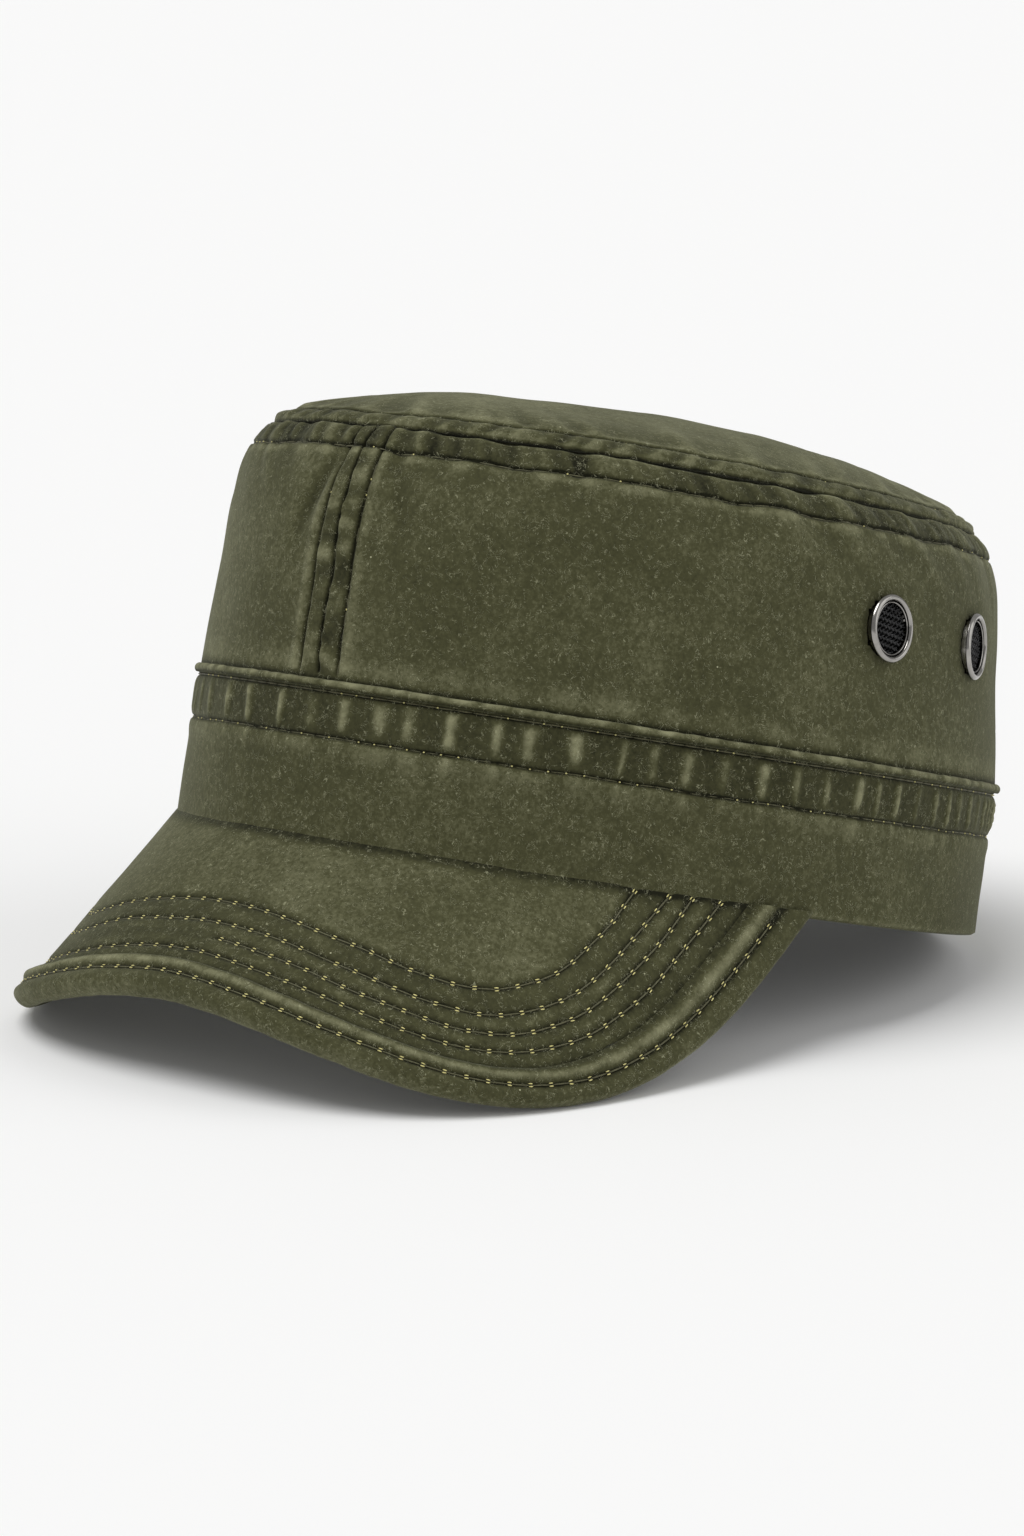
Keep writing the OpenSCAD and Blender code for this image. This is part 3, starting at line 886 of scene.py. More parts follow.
root_length = half_length + 0.3
root_width = half_width + 0.3
peak_reach = 33.0
peak_half_width = half_width - 2.7
peak_droop = 1.08
peak_fullness = 2.5
peak_corner = 2.9
peak_root = 1.5
peak_thickness = 3.6
peak_cloth = 0.8
peak_row_insets = (18.0, 13.8, 10.8, 7.8)
third_row_start = 0.02  # the third row begins only a little off the middle
last_outline = 20.5
peak_root_level = 36.0


def root_y(x):
    return -root_length * math.sqrt(1 - (x / root_width) ** 2)


def peak_place(station, inset, depth=0.0):
    """A place in the peak at a station from -1 to 1 along an outline inset from its edge.

    Past the last outline, the inset runs on to peak_root_level straight back to the band.
    """
    outline = min(inset, last_outline)
    half = peak_half_width - outline
    x = math.copysign(half * (1 - (1 - abs(station)) ** peak_corner), station)
    side = root_y(half)
    front = outline - half_length - peak_reach
    fall = max(0.0, 1 - (abs(x) / half) ** peak_fullness) ** (1 / peak_corner)
    y = side + (front - side) * fall
    back = (inset - outline) / (peak_root_level - last_outline)
    y = min(y + (root_y(x) + 0.3 - y) * max(0.0, back), root_y(x) + 0.3)
    slope = -(root_length**2) * x / (root_width**2 * root_y(x))
    square = Vector((peak_droop * slope, -peak_droop, 1)).normalized()
    return Vector((x, y, peak_root + peak_droop * (y - root_y(x)))) - depth * square


def peak_square(station, inset):
    """The direction straight out of the upper face of the peak."""
    return (peak_place(station, inset, 0) - peak_place(station, inset, 1)).normalized()


def peak_row(number, station):
    """Inset of one of the peak's rows of stitches, which wander a little."""
    return peak_row_insets[number] + 0.35 * noise.noise(Vector((station * 9, number * 3.1, 0.7)))


def peak_shape(station, inset):
    """How far the peak's cover stands out, its wear and painted highlight, and its painted shade."""
    place = peak_place(station, inset)
    stand = 0.45 * cloudy(place, 34, 6) + 0.1 * cloudy(place, 8, 2)
    # near the band, where it lies flatter, the peak gets a painted highlight; its stitched part out
    # to the edge gets painted shade
    wear_and_highlight = 0.14 * ease(inset, 18.5, 22)
    painted_shade = 0.34 * ease(20.5 - inset, 0, 3)
    for number in range(len(peak_row_insets)):
        off = inset - peak_row(number, station)
        sewn = ease(station, third_row_start - 0.02, third_row_start) if number == 2 else 1.0
        groove = sewn * ridge(off, 0.42)
        stand -= 0.42 * groove
        painted_shade += 0.75 * groove
        wear_and_highlight += 0.34 * sewn * ridge(abs(off) - 1.5, 0.8) * (0.5 + cloudy(place, 5, number))
    # painted shade beside the binding's roll and in the gap where the peak meets the band
    painted_shade += 0.6 * ridge(inset - 4.9, 0.7)
    root = place.y - root_y(place.x)
    painted_shade += 1.0 * ridge(root, 1.2)
    return stand, wear_and_highlight, painted_shade


def upper_form(station, inset):
    stand, wear_and_highlight, painted_shade = peak_shape(station, inset)
    return peak_place(station, inset) + stand * peak_square(station, inset), wear_and_highlight, painted_shade


def lower_form(station, inset):
    stand, wear_and_highlight, painted_shade = peak_shape(station, inset)
    square = peak_square(station, inset)
    return peak_place(station, inset, peak_thickness) - 0.5 * stand * square, wear_and_highlight, painted_shade


def drop_hidden(panel):
    """Takes away the flattened faces of a peak cover that lie past its sewn-in root."""
    work = bmesh.new()
    work.from_mesh(panel.data)
    flat = [face for face in work.faces if face.calc_area() < 0.004]
    bmesh.ops.delete(work, geom=flat, context="FACES")
    work.to_mesh(panel.data)
    work.free()


peak_stations = even_steps(lambda u: peak_place(u, 6), -1, 1, 1.0)
peak_levels = spread(
    (1.4, 0.7),
    (4, 0.55),
    (7.0, 0.28),
    (11.7, 0.6),
    (12.9, 0.28),
    (14.7, 0.6),
    (17.1, 0.28),
    (18.9, 0.8),
    (last_outline, 0.9),
    (peak_root_level, 1),
)
upper = lay_panel("peak_upper_cover", peak_stations, peak_levels, upper_form)
lower = lay_panel("peak_lower_cover", peak_stations, peak_levels[::-1], lower_form)
for cover, node in ((upper, "peak_top_cover"), (lower, "peak_bottom_cover")):
    drop_hidden(cover)
    thicken(cover, peak_cloth)
    finish_piece(cover, olive_cotton, replaces=[node])

# ---- Binding of the peak ----
# A bias strip of the same cotton, folded over the edge of all the layers. Its upper edge is
# turned under into a raised roll, and one row of stitches beside the roll goes through everything.

binding_row = 2.35  # inset of its stitches
binding_outline = [  # inset from the peak's edge, and depth under its upper face
    (5.0, -0.15),
    (4.95, -1.0),
    (4.35, -1.75),
    (3.6, -1.8),
    (2.95, -1.25),
    (binding_row, -0.72),
    (1.7, -1.0),
    (0.6, -1.25),
    (-0.7, -0.7),
    (-1.45, 0.6),
    (-1.6, 2.1),
    (-1.15, 3.5),
    (-0.1, 4.45),
    (1.3, 4.75),
    (binding_row, 4.6),
    (3.5, 4.9),
    (4.5, 4.6),
    (4.8, 3.75),
    (1.1, 3.75),
    (0.5, 1.8),
    (1.1, -0.15),
]


def smooth_loop(corners, parts):
    """A closed smooth curve through corners, with a number of parts between two of them."""
    count, loop = len(corners), []
    for i in range(count):
        before, here, there, after = (Vector(corners[(i + k) % count]) for k in (-1, 0, 1, 2))
        for j in range(parts):
            t = j / parts
            loop.append(
                0.5
                * (
                    2 * here
                    + (there - before) * t
                    + (2 * before - 5 * here + 4 * there - after) * t**2
                    + (3 * here - before - 3 * there + after) * t**3
                )
            )
    return loop + loop[:1]


binding_parts = 3  # between two corners of the outline
binding_outer = 17 * binding_parts  # the levels up to this one can be seen
binding_loop = smooth_loop(binding_outline, binding_parts)


def binding_form(station, level):
    inset, depth = binding_loop[level]
    place = peak_place(station, max(inset, 0.3), 0)
    along = peak_place(station, 0.3, 0)
    out = peak_square(station, 1)
    edge = (along - peak_place(station, 3, 0)).normalized()
    place = place - out * depth + edge * max(0.0, 0.3 - inset)
    lump = 0.16 * cloudy(place, 4.5, 3) + 0.22 * cloudy(place, 16, 8)
    face = ease(6 - inset, 0, 1) * (1 if level < binding_outer else 0)
    centre = along - out * peak_thickness / 2
    place += (place - centre).normalized() * lump * face
    # the raised roll and the folded rim are paler from wear and painted highlight; painted shade in
    # the stitched groove, along the roll's foot and, a little, all over
    roll = ridge(inset - 3.75, 0.6) * (depth < 0)
    wear_and_highlight = roll * (0.8 + 0.6 * cloudy(place, 3.5, 2))
    rim = ridge(inset + 1.6, 1.0)
    wear_and_highlight += 0.3 * rim + 0.25 * max(0, cloudy(place, 9, 5))
    painted_shade = 1.1 * ridge(inset - binding_row, 0.42) + 0.5 * ridge(inset - 5.1, 0.5) + 0.1
    return place, wear_and_highlight, painted_shade


sew_strip(
    "peak_edge_binding",
    peak_stations,
    binding_loop,
    binding_form,
    olive_cotton,
    replaces=["peak_binding"],
)

# ---- Inside the band ----
# The sweatband is a strip of smoother, darker cotton round the inside of the rim. Between it and
# the band lies a strip of stiff canvas that keeps the front upright.

lining_cotton = washed_cotton(
    "dark_lining_cotton",
    (0.012, 0.0125, 0.007),
    (0.04, 0.041, 0.024),
    (0.12, 0.12, 0.08),
    (0.2, 0.2, 0.14),
    fibres=0.4,
)
stiff_canvas = washed_cotton(
    "stiff_canvas",
    (0.16, 0.155, 0.12),
    (0.36, 0.35, 0.28),
    (0.55, 0.54, 0.45),
    (0.6, 0.58, 0.5),
    fibres=0.3,
)


def strip_outline(outer, inner, low, high, spacing):
    """The closed cross-section of an upright strip: insets and heights, outer face first."""
    middle = (outer + inner) / 2
    section = [(outer, z) for z in spread((low + 0.2, spacing), (high - 0.25, 1))]
    section += [(middle, high)]
    section += [(inner, z) for z in spread((high - 0.25, spacing), (low + 0.2, 1))]
    return section + [(middle, low), section[0]]


sweatband_inset = 4.7
sweatband_inner = 5.6  # inset of its inner face
sweatband_gap = opening_half_width + 1  # half of its gap at the back
sweatband_half_width = half_width - 5  # of its middle
sweatband_top = 34.0
sweatband_row = 3.2  # how far its stitches lie from its upper edge
sweatband_section = strip_outline(
    sweatband_inset, sweatband_inner, flange_height + layer_gap, sweatband_top, 1
)


def sweatband_sway(place, angle, height):
    return 0.3 * cloudy(place, 22, 4) + 0.1 * round_noise(angle, 4, 2, height / 9)


def sweatband_form(share, level):
    inset, height = sweatband_section[level]
    over = max(0.0, height - opening_sides)
    reach = math.sqrt(sweatband_gap**2 - over**2)
    angle = share * (math.pi - math.asin(reach / sweatband_half_width))
    place = rim_place(angle, inset, height)
    sway = sweatband_sway(place, angle, height)
    groove = ridge(height - sweatband_top + sweatband_row, 0.6)
    inner_face = 1 if inset > sweatband_inset + 0.5 else -1
    place += rim_outward(angle) * (sway + 0.2 * groove * inner_face)
    # upper edge paler from wear and painted highlight, painted shade in the stitched groove
    return place, 0.4 * ridge(height - sweatband_top, 1.2), 0.8 * groove


sweat_stations = even_steps(lambda share: rim_place(share * math.pi, 5, 0), -1, 1, 2.2)
sew_strip(
    "sweatband",
    sweat_stations,
    sweatband_section,
    sweatband_form,
    lining_cotton,
    slot="lining_cotton",
    replaces=["sweatband_strip"],
)

stiffener_end = math.radians(120)
stiffener_outer = cloth + layer_gap
stiffener_section = strip_outline(
    stiffener_outer, stiffener_outer + 1.6, flange_height + layer_gap, wall_foot - layer_gap, 3
)


def stiffener_form(angle, level):
    inset, height = stiffener_section[level]
    return rim_place(angle, inset, height), 0.0, 0.0


stations = even_steps(lambda a: rim_place(a, 2, 0), -stiffener_end, stiffener_end, 3)
sew_strip(
    "band_stiffener",
    stations,
    stiffener_section,
    stiffener_form,
    stiff_canvas,
    slot="tape_cotton",
    replaces=["band_interlining"],
)

# ---- Tapes over the inside seams ----
# Cotton tape covers each seam inside the crown: one runs round under the top, one down the front
# and one down the back. A shallow groove shows where an edge is sewn down.

tape_cotton = washed_cotton(
    "seam_tape_cotton",
    (0.03, 0.03, 0.017),
    (0.105, 0.105, 0.066),
    (0.2, 0.2, 0.14),
    (0.3, 0.3, 0.2),
    fibres=0.5,
)
tape_thickness = 0.6
tape_width = 15.0
tape_face = cloth + 0.55  # depth of its outer face in the wall
tape_foot = seam_height - tape_width / 2


def inner_place(angle, height, depth):
    """A place behind the outer face of the wall, by a depth square to it."""
    return wall_place(angle, height) - depth * outward(wall_place, angle, height)


def tape_section(low, high, spacing):
    return strip_outline(tape_face, tape_face + tape_thickness, low, high, spacing)


round_section = tape_section(tape_foot, seam_height - 1.5, 0.9)


def round_tape_form(angle, level):
    depth, height = round_section[level]
    pucker = 0.3 * round_noise(angle, 3.5, 5, height / 8)
    edge = ridge(height - tape_foot - 1.3, 0.5)
    place = inner_place(angle, height, depth + 0.25 + pucker * 0.5 - 0.15 * edge)
    # puckers paler from wear and painted highlight, painted shade along the sewn edge
    return place, 0.3 * max(0, pucker), 0.7 * edge


tape_stations = even_steps(lambda a: wall_place(a, 90), -math.pi, math.pi, 1.9)
sew_strip(
    "top_seam_tape_cloth",
    tape_stations,
    round_section,
    round_tape_form,
    tape_cotton,
    slot="tape_cotton",
    replaces=["top_seam_tape"],
)

tape_half = math.asin(tape_width / 2 / half_width)
back_low = opening_sides + opening_half_width + arch_width + 1
for name, middle, low in (("front", 0.0, band_height + 1), ("back", math.pi, back_low)):
    section = tape_section(low, tape_foot - 1, 2.2)

    def wall_tape_form(across, level, middle=middle, section=section):
        depth, height = section[level]
        edge = ridge(abs(across) - 0.82, 0.08)
        place = inner_place(middle + across * tape_half, height, depth)
        sway = 0.25 * cloudy(place, 9, 3)
        out = outward(wall_place, middle + across * tape_half, height)
        # painted shade along the sewn edges
        return place - out * (0.3 + sway - 0.15 * edge), 0.0, 0.7 * edge

    across_steps = [i / 14 for i in range(-14, 15)]
    sew_strip(
        f"{name}_seam_tape_cloth",
        across_steps,
        section,
        wall_tape_form,
        tape_cotton,
        slot="tape_cotton",
        replaces=[f"{name}_seam_tape"],
    )

# ---- Binding of the back opening ----
# A folded tape of the same cotton closes the cut edges of the arch behind, outside and in. It is
# thinner inside where the strap runs behind it.

arch_row = 2.6  # from the arch's edge to its stitches
strap_top = 22.6  # just over the strap's upper edge
thin_depth = 1.15  # of the tape's inner face where the strap runs behind it
arch_section = [  # distance out from the arch's edge, and depth under the wall's outer face
    (0.0, 0.5),
    (0.15, -0.5),
    (0.9, -1.05),
    (2.4, -0.95),
    (3.9, -1.1),
    (4.8, -0.8),
    (5.0, -0.1),
    (4.9, 1.5),
    (4.2, 2.0),
    (2.4, 1.9),
    (0.8, 2.0),
    (0.1, 1.5),
]
arch_loop = smooth_loop(arch_section, 2)
arch_turns = [("side", z) for z in spread((0.0, 1.2), (opening_sides, 1))]
arch_turns += [("arc", math.radians(t)) for t in spread((2, 2), (178, 1))]
arch_turns += [("far", z) for z in spread((opening_sides, 1.2), (0.0, 1))]


def cover_place(x, height, depth):
    """A place at a depth under the outer face of band or wall behind, at a distance across."""
    up = rise(height)
    out = wall_inset * ease(height, band_height - 1, band_height + 1)
    out -= 0.7 * ridge(height - band_height + 1.2, 2.2)
    in_length, in_width = wall_insets(out, up)
    angle = math.pi - math.asin(x / (half_width - in_width))
    return Vector(
        (
            (half_width - in_width - depth) * math.sin(angle),
            -top_shift * up - (half_length - in_length - depth) * math.cos(angle),
            height,
        )
    )


def arch_form(turn, level):
    beyond, depth = arch_loop[level]
    kind, value = turn
    radius = opening_half_width + beyond
    if kind == "arc":
        x, height = radius * math.cos(value), opening_sides + radius * math.sin(value)
    else:
        x, height = radius if kind == "side" else -radius, value
    if height < strap_top:
        depth = min(depth, thin_depth)
    place = cover_place(x, max(height, 0.3), depth)
    place += 0.14 * cloudy(place, 5, 3) * Vector((0, 1, 0))
    row = ridge(beyond - arch_row, 0.5)
    edges = ridge(beyond - 0.4, 0.5) + ridge(beyond - 4.7, 0.4)
    # edges paler from wear and painted highlight, painted shade in the stitched groove outside
    return place, 0.4 * edges, 0.8 * row * (depth < 0)


sew_strip(
    "opening_binding",
    arch_turns,
    arch_loop,
    arch_form,
    olive_cotton,
    replaces=["opening_binding_tape"],
)

# ---- Strap ----
# A flat strap of doubled cotton closes the opening. It runs on a circle behind the band, through
# the buckle, and has a row of stitches along each edge.

strap_low, strap_high = upright_box("back_strap")
strap_thickness = 1.2
strap_inset = 2.2
strap_lap = 16.0  # how far its ends run on past the opening's edge
strap_meet = opening_half_width + 0.75 * strap_lap  # where its circle meets the rim's curve
strap_rise = (half_length - strap_inset) * (
    1 - math.sqrt(1 - (strap_meet / (half_width - strap_inset)) ** 2)
)
strap_radius = (strap_meet**2 + strap_rise**2) / (2 * strap_rise)
strap_centre = Vector((0, half_length - strap_inset - strap_radius, 0))
strap_reach = math.asin(strap_high.x / (strap_radius + strap_thickness / 2))
strap_foot = strap_low.z
strap_width = strap_high.z - strap_low.z
strap_row = 2.2  # from each edge to its stitches


def strap_place(angle, out, height):
    """A place beside the strap's circle, at an angle from the middle of the back."""
    radius = strap_radius + out
    return strap_centre + Vector((-radius * math.sin(angle), radius * math.cos(angle), height))


def webbing_section(outer, inner, foot, width):
    """The closed cross-section of a doubled strap: how far out and how high, outer face first."""
    high = foot + width
    edge = [(outer, z) for z in spread((foot + 0.35, 0.55), (high - 0.35, 1))]
    middle = (outer + inner) / 2
    edge += [(outer - 0.15, high - 0.1), (middle, high), (inner + 0.15, high - 0.1)]
    edge += [(inner, z) for z in spread((high - 0.35, 0.55), (foot + 0.35, 1))]
    return edge + [(inner + 0.15, foot + 0.1), (middle, foot), (outer - 0.15, foot + 0.1), edge[0]]


def webbing_form(section, foot, width):
    """The form of a doubled strap with a sewn groove along each edge."""

    def form(angle, level):
        out, height = section[level]
        off = min(height - foot, foot + width - height)
        groove = ridge(off - strap_row, 0.4)
        middle = sum(s[0] for s in section) / len(section)
        side = math.copysign(1, out - middle)
        place = strap_place(angle, out, height)
        fuzz = 0.06 * cloudy(place, 3, 2)
        place = strap_place(angle, out + side * (fuzz - 0.14 * groove), height)
        # edges paler from wear and painted highlight, painted shade in the stitched grooves
        return place, 0.5 * ridge(off, 0.7), 0.8 * groove

    return form


strap_section = webbing_section(strap_thickness / 2, -strap_thickness / 2, strap_foot, strap_width)
strap_stations = even_steps(lambda a: strap_place(a, 0, 0), -strap_reach, strap_reach, 0.9)
sew_strip(
    "strap_cloth",
    strap_stations,
    strap_section,
    webbing_form(strap_section, strap_foot, strap_width),
    olive_cotton,
    body="strap",
    replaces=["back_strap"],
)

tab_places = [to_upright @ v.co for v in frame["nodes"]["buckle_tab"].data.vertices]
tab_turns = [math.atan2(-p.x, p.y - strap_centre.y) for p in tab_places]
tab_outs = [math.hypot(p.x, p.y - strap_centre.y) - strap_radius for p in tab_places]
tab_section = webbing_section(max(tab_outs), min(tab_outs), strap_foot, strap_width)
sew_strip(
    "buckle_tab_cloth",
    even_steps(lambda a: strap_place(a, 0, 0), min(tab_turns), max(tab_turns), 0.9),
    tab_section,
    webbing_form(tab_section, strap_foot, strap_width),
    olive_cotton,
    replaces=["buckle_tab"],
)

# ---- Buckle ----
# A small flip buckle of dark plated steel: a base plate with two cheeks, a pin through them, and
# a lever whose round cam holds the strap. The edges of the pressed parts are rounded off.


def plated_metal(name, colour, roughness, scratches):
    """A plated steel finish with fine scratches and slightly dull patches."""
    material, tree, place = new_finish(name)
    dull = add_node(tree, "ShaderNodeTexNoise", Vector=place, Scale=420.0, Detail=4.0)
    stretched = add_node(tree, "ShaderNodeMapping", Vector=place, Scale=(1, 1, 14))
    fine = add_node(tree, "ShaderNodeTexNoise", Vector=stretched.outputs[0], Scale=700.0, Detail=3.0)
    rough = calculate(tree, "MULTIPLY_ADD", dull.outputs["Fac"], 0.16, roughness - 0.08)
    bump = add_node(
        tree,
        "ShaderNodeBump",
        Strength=scratches,
        Distance=0.00003,
        Height=fine.outputs["Fac"],
    )
    darker = [c * 0.72 for c in colour]
    shade = two_shades(tree, dull.outputs["Fac"], darker, colour, 0.3, 0.75)
    shader = paint(tree, shade.outputs["Color"], bump, Metallic=1.0)
    tree.links.new(rough, shader.inputs["Roughness"])
    return material


dark_plate = plated_metal("dark_plated_steel", (0.34, 0.33, 0.32), 0.3, 0.25)

for node, name, body in (
    ("buckle_frame", "buckle_frame_pressed", "cap"),
    ("buckle_pin", "buckle_pin_turned", "cap"),
    ("buckle_lever", "buckle_lever_pressed", "lever"),
):
    solid = frame["nodes"][node]
    part = bpy.data.objects.new(name, solid.data.copy())
    scene.collection.objects.link(part)
    take(part)
    bpy.ops.object.mode_set(mode="EDIT")
    bpy.ops.mesh.select_all(action="SELECT")
    bpy.ops.mesh.remove_doubles(threshold=0.00001)
    bpy.ops.mesh.dissolve_limited(angle_limit=math.radians(2))
    bpy.ops.object.mode_set(mode="OBJECT")
    bevel = part.modifiers.new("rounded_edges", "BEVEL")
    bevel.width = 0.00022
    bevel.segments = 2
    bevel.limit_method = "ANGLE"
    bevel.angle_limit = math.radians(35)
    bpy.ops.object.modifier_apply(modifier="rounded_edges")
    part.data.materials.clear()
    part.data.materials.append(dark_plate)
    bpy.ops.object.shade_smooth_by_angle(angle=math.radians(30))
    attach(part, body)
    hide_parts(node)

# ---- Board inside the peak ----
# A sheet of stiff black plastic, hidden between the covers.

board_plastic, board_tree, board_at = new_finish("black_board_plastic")
board_noise = add_node(board_tree, "ShaderNodeTexNoise", Vector=board_at, Scale=900.0, Detail=3.0)
board_grain = board_noise.outputs["Fac"]
board_black = two_shades(board_tree, board_grain, (0.008, 0.008, 0.008), (0.035, 0.035, 0.035))
board_bump = add_node(
    board_tree, "ShaderNodeBump", Strength=0.3, Distance=0.0002, Height=board_grain
)
paint(board_tree, board_black.outputs["Color"], board_bump, Roughness=0.55)
board = frame["nodes"]["peak_board"]
board.data.materials.clear()
board.data.materials.append(board_plastic)

# ---- Eyelets ----
# Four vents of bright dark-plated steel, each a domed ring with a second bead inside it, a woven
# black mesh across the barrel, and a washer that grips the cloth from inside.

bright_plate = plated_metal("dark_polished_steel", (0.4, 0.385, 0.36), 0.17, 0.12)
# near-black steel, painted shade for the ring's grooves and undercut
painted_shade_plate = plated_metal("painted_shade_steel", (0.03, 0.028, 0.025), 0.4, 0.2)
mesh_wire = plated_metal("black_coated_wire", (0.007, 0.007, 0.0075), 0.24, 0.2)
wire_shader = mesh_wire.node_tree.nodes["Principled BSDF"]
wire_shader.inputs["Metallic"].default_value = 0.0
wire_shader.inputs["Specular IOR Level"].default_value = 0.3

flange_width = 1.9
washer_radius = barrel_radius + flange_width + 0.3
washer_thickness = 0.6
eyelet_standoff = (
    washer_radius**2 / (2 * (half_width - wall_inset))
    + washer_radius * math.sin(eyelet_turn)
    + 0.05
)
ring_profile = [  # radius and height of the ring's section, from the barrel's foot inside
    (5.75, -2.6),
    (5.75, 0.95),
    (5.62, 1.12),
    (5.66, 1.32),
    (5.84, 1.44),
    (6.02, 1.34),
    (6.08, 1.12),
    (6.2, 1.1),
    (6.32, 1.5),
    (6.5, 1.86),
    (6.8, 2.02),
    (7.15, 1.94),
    (7.48, 1.66),
    (7.7, 1.22),
    (7.68, 1.0),
    (7.4, 0.95),
    (6.4, 0.95),
    (6.4, -2.6),
]
washer_profile = [
    (6.5, 0.1),
    (6.6, 0.0),
    (7.85, 0.0),
    (8.0, 0.15),
    (8.0, 0.45),
    (7.85, 0.6),
    (7.0, 0.6),
    (6.5, 0.5),
]


def turn_profile(name, profile, steps=72):
    """A ring spun from the outline of its section, as on a lathe."""
    mesh = bpy.data.meshes.new(name)
    ring = bpy.data.objects.new(name, mesh)
    scene.collection.objects.link(ring)
    count = len(profile)
    mesh.from_pydata(
        [(r, 0, z) for r, z in profile], [(i, (i + 1) % count) for i in range(count)], []
    )
    take(ring)
    bpy.ops.object.mode_set(mode="EDIT")
    bpy.ops.mesh.select_all(action="SELECT")
    bpy.ops.mesh.spin(steps=steps, angle=2 * math.pi, center=(0, 0, 0), axis=(0, 0, 1))
    bpy.ops.mesh.select_all(action="SELECT")
    bpy.ops.mesh.remove_doubles(threshold=0.001)
    bpy.ops.mesh.normals_make_consistent(inside=False)
    bpy.ops.object.mode_set(mode="OBJECT")
    return ring


def weave_disc(name, radius, pitch, wire):
    """A disc of plain-woven wires, each passing over and under those that cross it."""
    work = bmesh.new()
    count = int(radius / pitch)
    sides = 6
    for direction in (0, 1):
        for number in range(-count, count + 1):
            across = number * pitch
            half = math.sqrt(radius**2 - across**2)
            parts = max(2, round(half * 4 / pitch))
            rings = []
            for i in range(parts + 1):
                along = -half + 2 * half * i / parts
                phase = math.pi * along / pitch + math.pi * (number + direction)
                lift = 0.7 * wire * math.cos(phase) + 0.25
                loop = []
                for k in range(sides):
                    turn = 2 * math.pi * k / sides
                    side, up = wire / 2 * math.cos(turn), wire / 2 * math.sin(turn)
                    spot = (along, across + side) if direction == 0 else (across + side, along)
                    loop.append(work.verts.new((*spot, lift + up)))
                rings.append(loop)
            for here, there in zip(rings, rings[1:]):
                for k in range(sides):
                    following = (k + 1) % sides
                    work.faces.new((here[k], here[following], there[following], there[k]))
            work.faces.new(rings[0][::-1])
            work.faces.new(rings[-1])
    bmesh.ops.recalc_face_normals(work, faces=work.faces)
    mesh = bpy.data.meshes.new(name)
    work.to_mesh(mesh)
    work.free()
    disc = bpy.data.objects.new(name, mesh)
    scene.collection.objects.link(disc)
    return disc


for side, side_name in ((1, "left"), (-1, "right")):
    for angle, place_name in zip(eyelet_angles, ("front", "rear")):
        label = f"eyelet_{side_name}_{place_name}"
        seat = eyelet_seat(side, angle)
        ring = turn_profile(f"{label}_turned_ring", ring_profile)
        shades = []  # painted shade: the groove inside the bead, the inner lip and the undercut outside get a near-black finish
        for face in ring.data.polygons:
            across, up = math.hypot(face.center.x, face.center.y), face.center.z
            dark = 6.0 < across < 6.3 and up > 1 or across > 7.35 and up < 1.35 or across < 5.74
            shades.append(int(dark))
        ring.data.transform(seat)
        finish_piece(ring, bright_plate, slot="gunmetal", replaces=[f"{label}_ring"])
        ring.data.materials.append(painted_shade_plate)
        ring.data.polygons.foreach_set("material_index", shades)
        washer = turn_profile(f"{label}_turned_washer", washer_profile, 48)
        drop = Matrix.Translation((0, 0, -cloth - eyelet_standoff - washer_thickness))
        washer.data.transform(seat @ drop)
        finish_piece(washer, dark_plate, slot="gunmetal", replaces=[f"{label}_washer"])
        disc = weave_disc(f"{label}_woven_mesh", barrel_radius - 0.05, 1.0, 0.52)
        disc.data.transform(seat @ Matrix.Rotation(math.radians(38), 4, "Z"))
        finish_piece(disc, mesh_wire, slot="black_mesh", replaces=[f"{label}_mesh"])

# ---- Sewing thread ----
# The rows of the crown, band, peak, opening, strap and sweatband are sewn with olive thread. Where
# a stitch outside turns down into its hole, it catches the light, and that glint is a painted
# highlight of pale thread: a pair of short dashes on the peak, a single point on the band and crown.


def thread_finish(name, colour, pale):
    """Twisted cotton thread: fine slanting ridges of a lighter shade."""
    material, tree, place = new_finish(name)
    strands = add_node(
        tree, "ShaderNodeTexNoise", Vector=place, Scale=2600.0, Detail=2.0, Distortion=0.6
    )
    shades = two_shades(tree, strands.outputs["Fac"], colour, pale, 0.3, 0.72)
    bump = add_node(
        tree, "ShaderNodeBump", Strength=0.4, Distance=0.0001, Height=strands.outputs["Fac"]
    )
    paint(tree, shades.outputs["Color"], bump, Roughness=0.6, Sheen_Weight=0.1)
    return material


olive_thread = thread_finish("olive_thread", (0.045, 0.043, 0.015), (0.13, 0.125, 0.055))
# pale thread for the painted highlights at the holes
glint_thread = thread_finish("painted_glint_thread", (0.55, 0.49, 0.17), (0.85, 0.78, 0.34))

bpy.ops.object.select_all(action="DESELECT")
bpy.ops.mesh.primitive_uv_sphere_add(segments=8, ring_count=6, radius=0.5)
stitch_pattern = bpy.context.object
bpy.ops.object.mode_set(mode="EDIT")
bpy.ops.mesh.select_all(action="SELECT")
bpy.ops.transform.rotate(value=math.pi / 2, orient_axis="Y", center_override=(0, 0, 0))
bpy.ops.object.mode_set(mode="OBJECT")
stitch_points = [v.co.copy() for v in stitch_pattern.data.vertices]
stitch_faces = [tuple(face.vertices) for face in stitch_pattern.data.polygons]
bpy.data.objects.remove(stitch_pattern)


def stitch_seat(here, there, out, size):
    """Sets a stitch between two places: its length along them, its height outward."""
    ahead = (there - here).normalized()
    side = out.cross(ahead).normalized()
    turn = Matrix((ahead, side, ahead.cross(side))).transposed().to_4x4()
    return Matrix.Translation((here + there) / 2) @ turn @ Matrix.Diagonal((*size, 1))


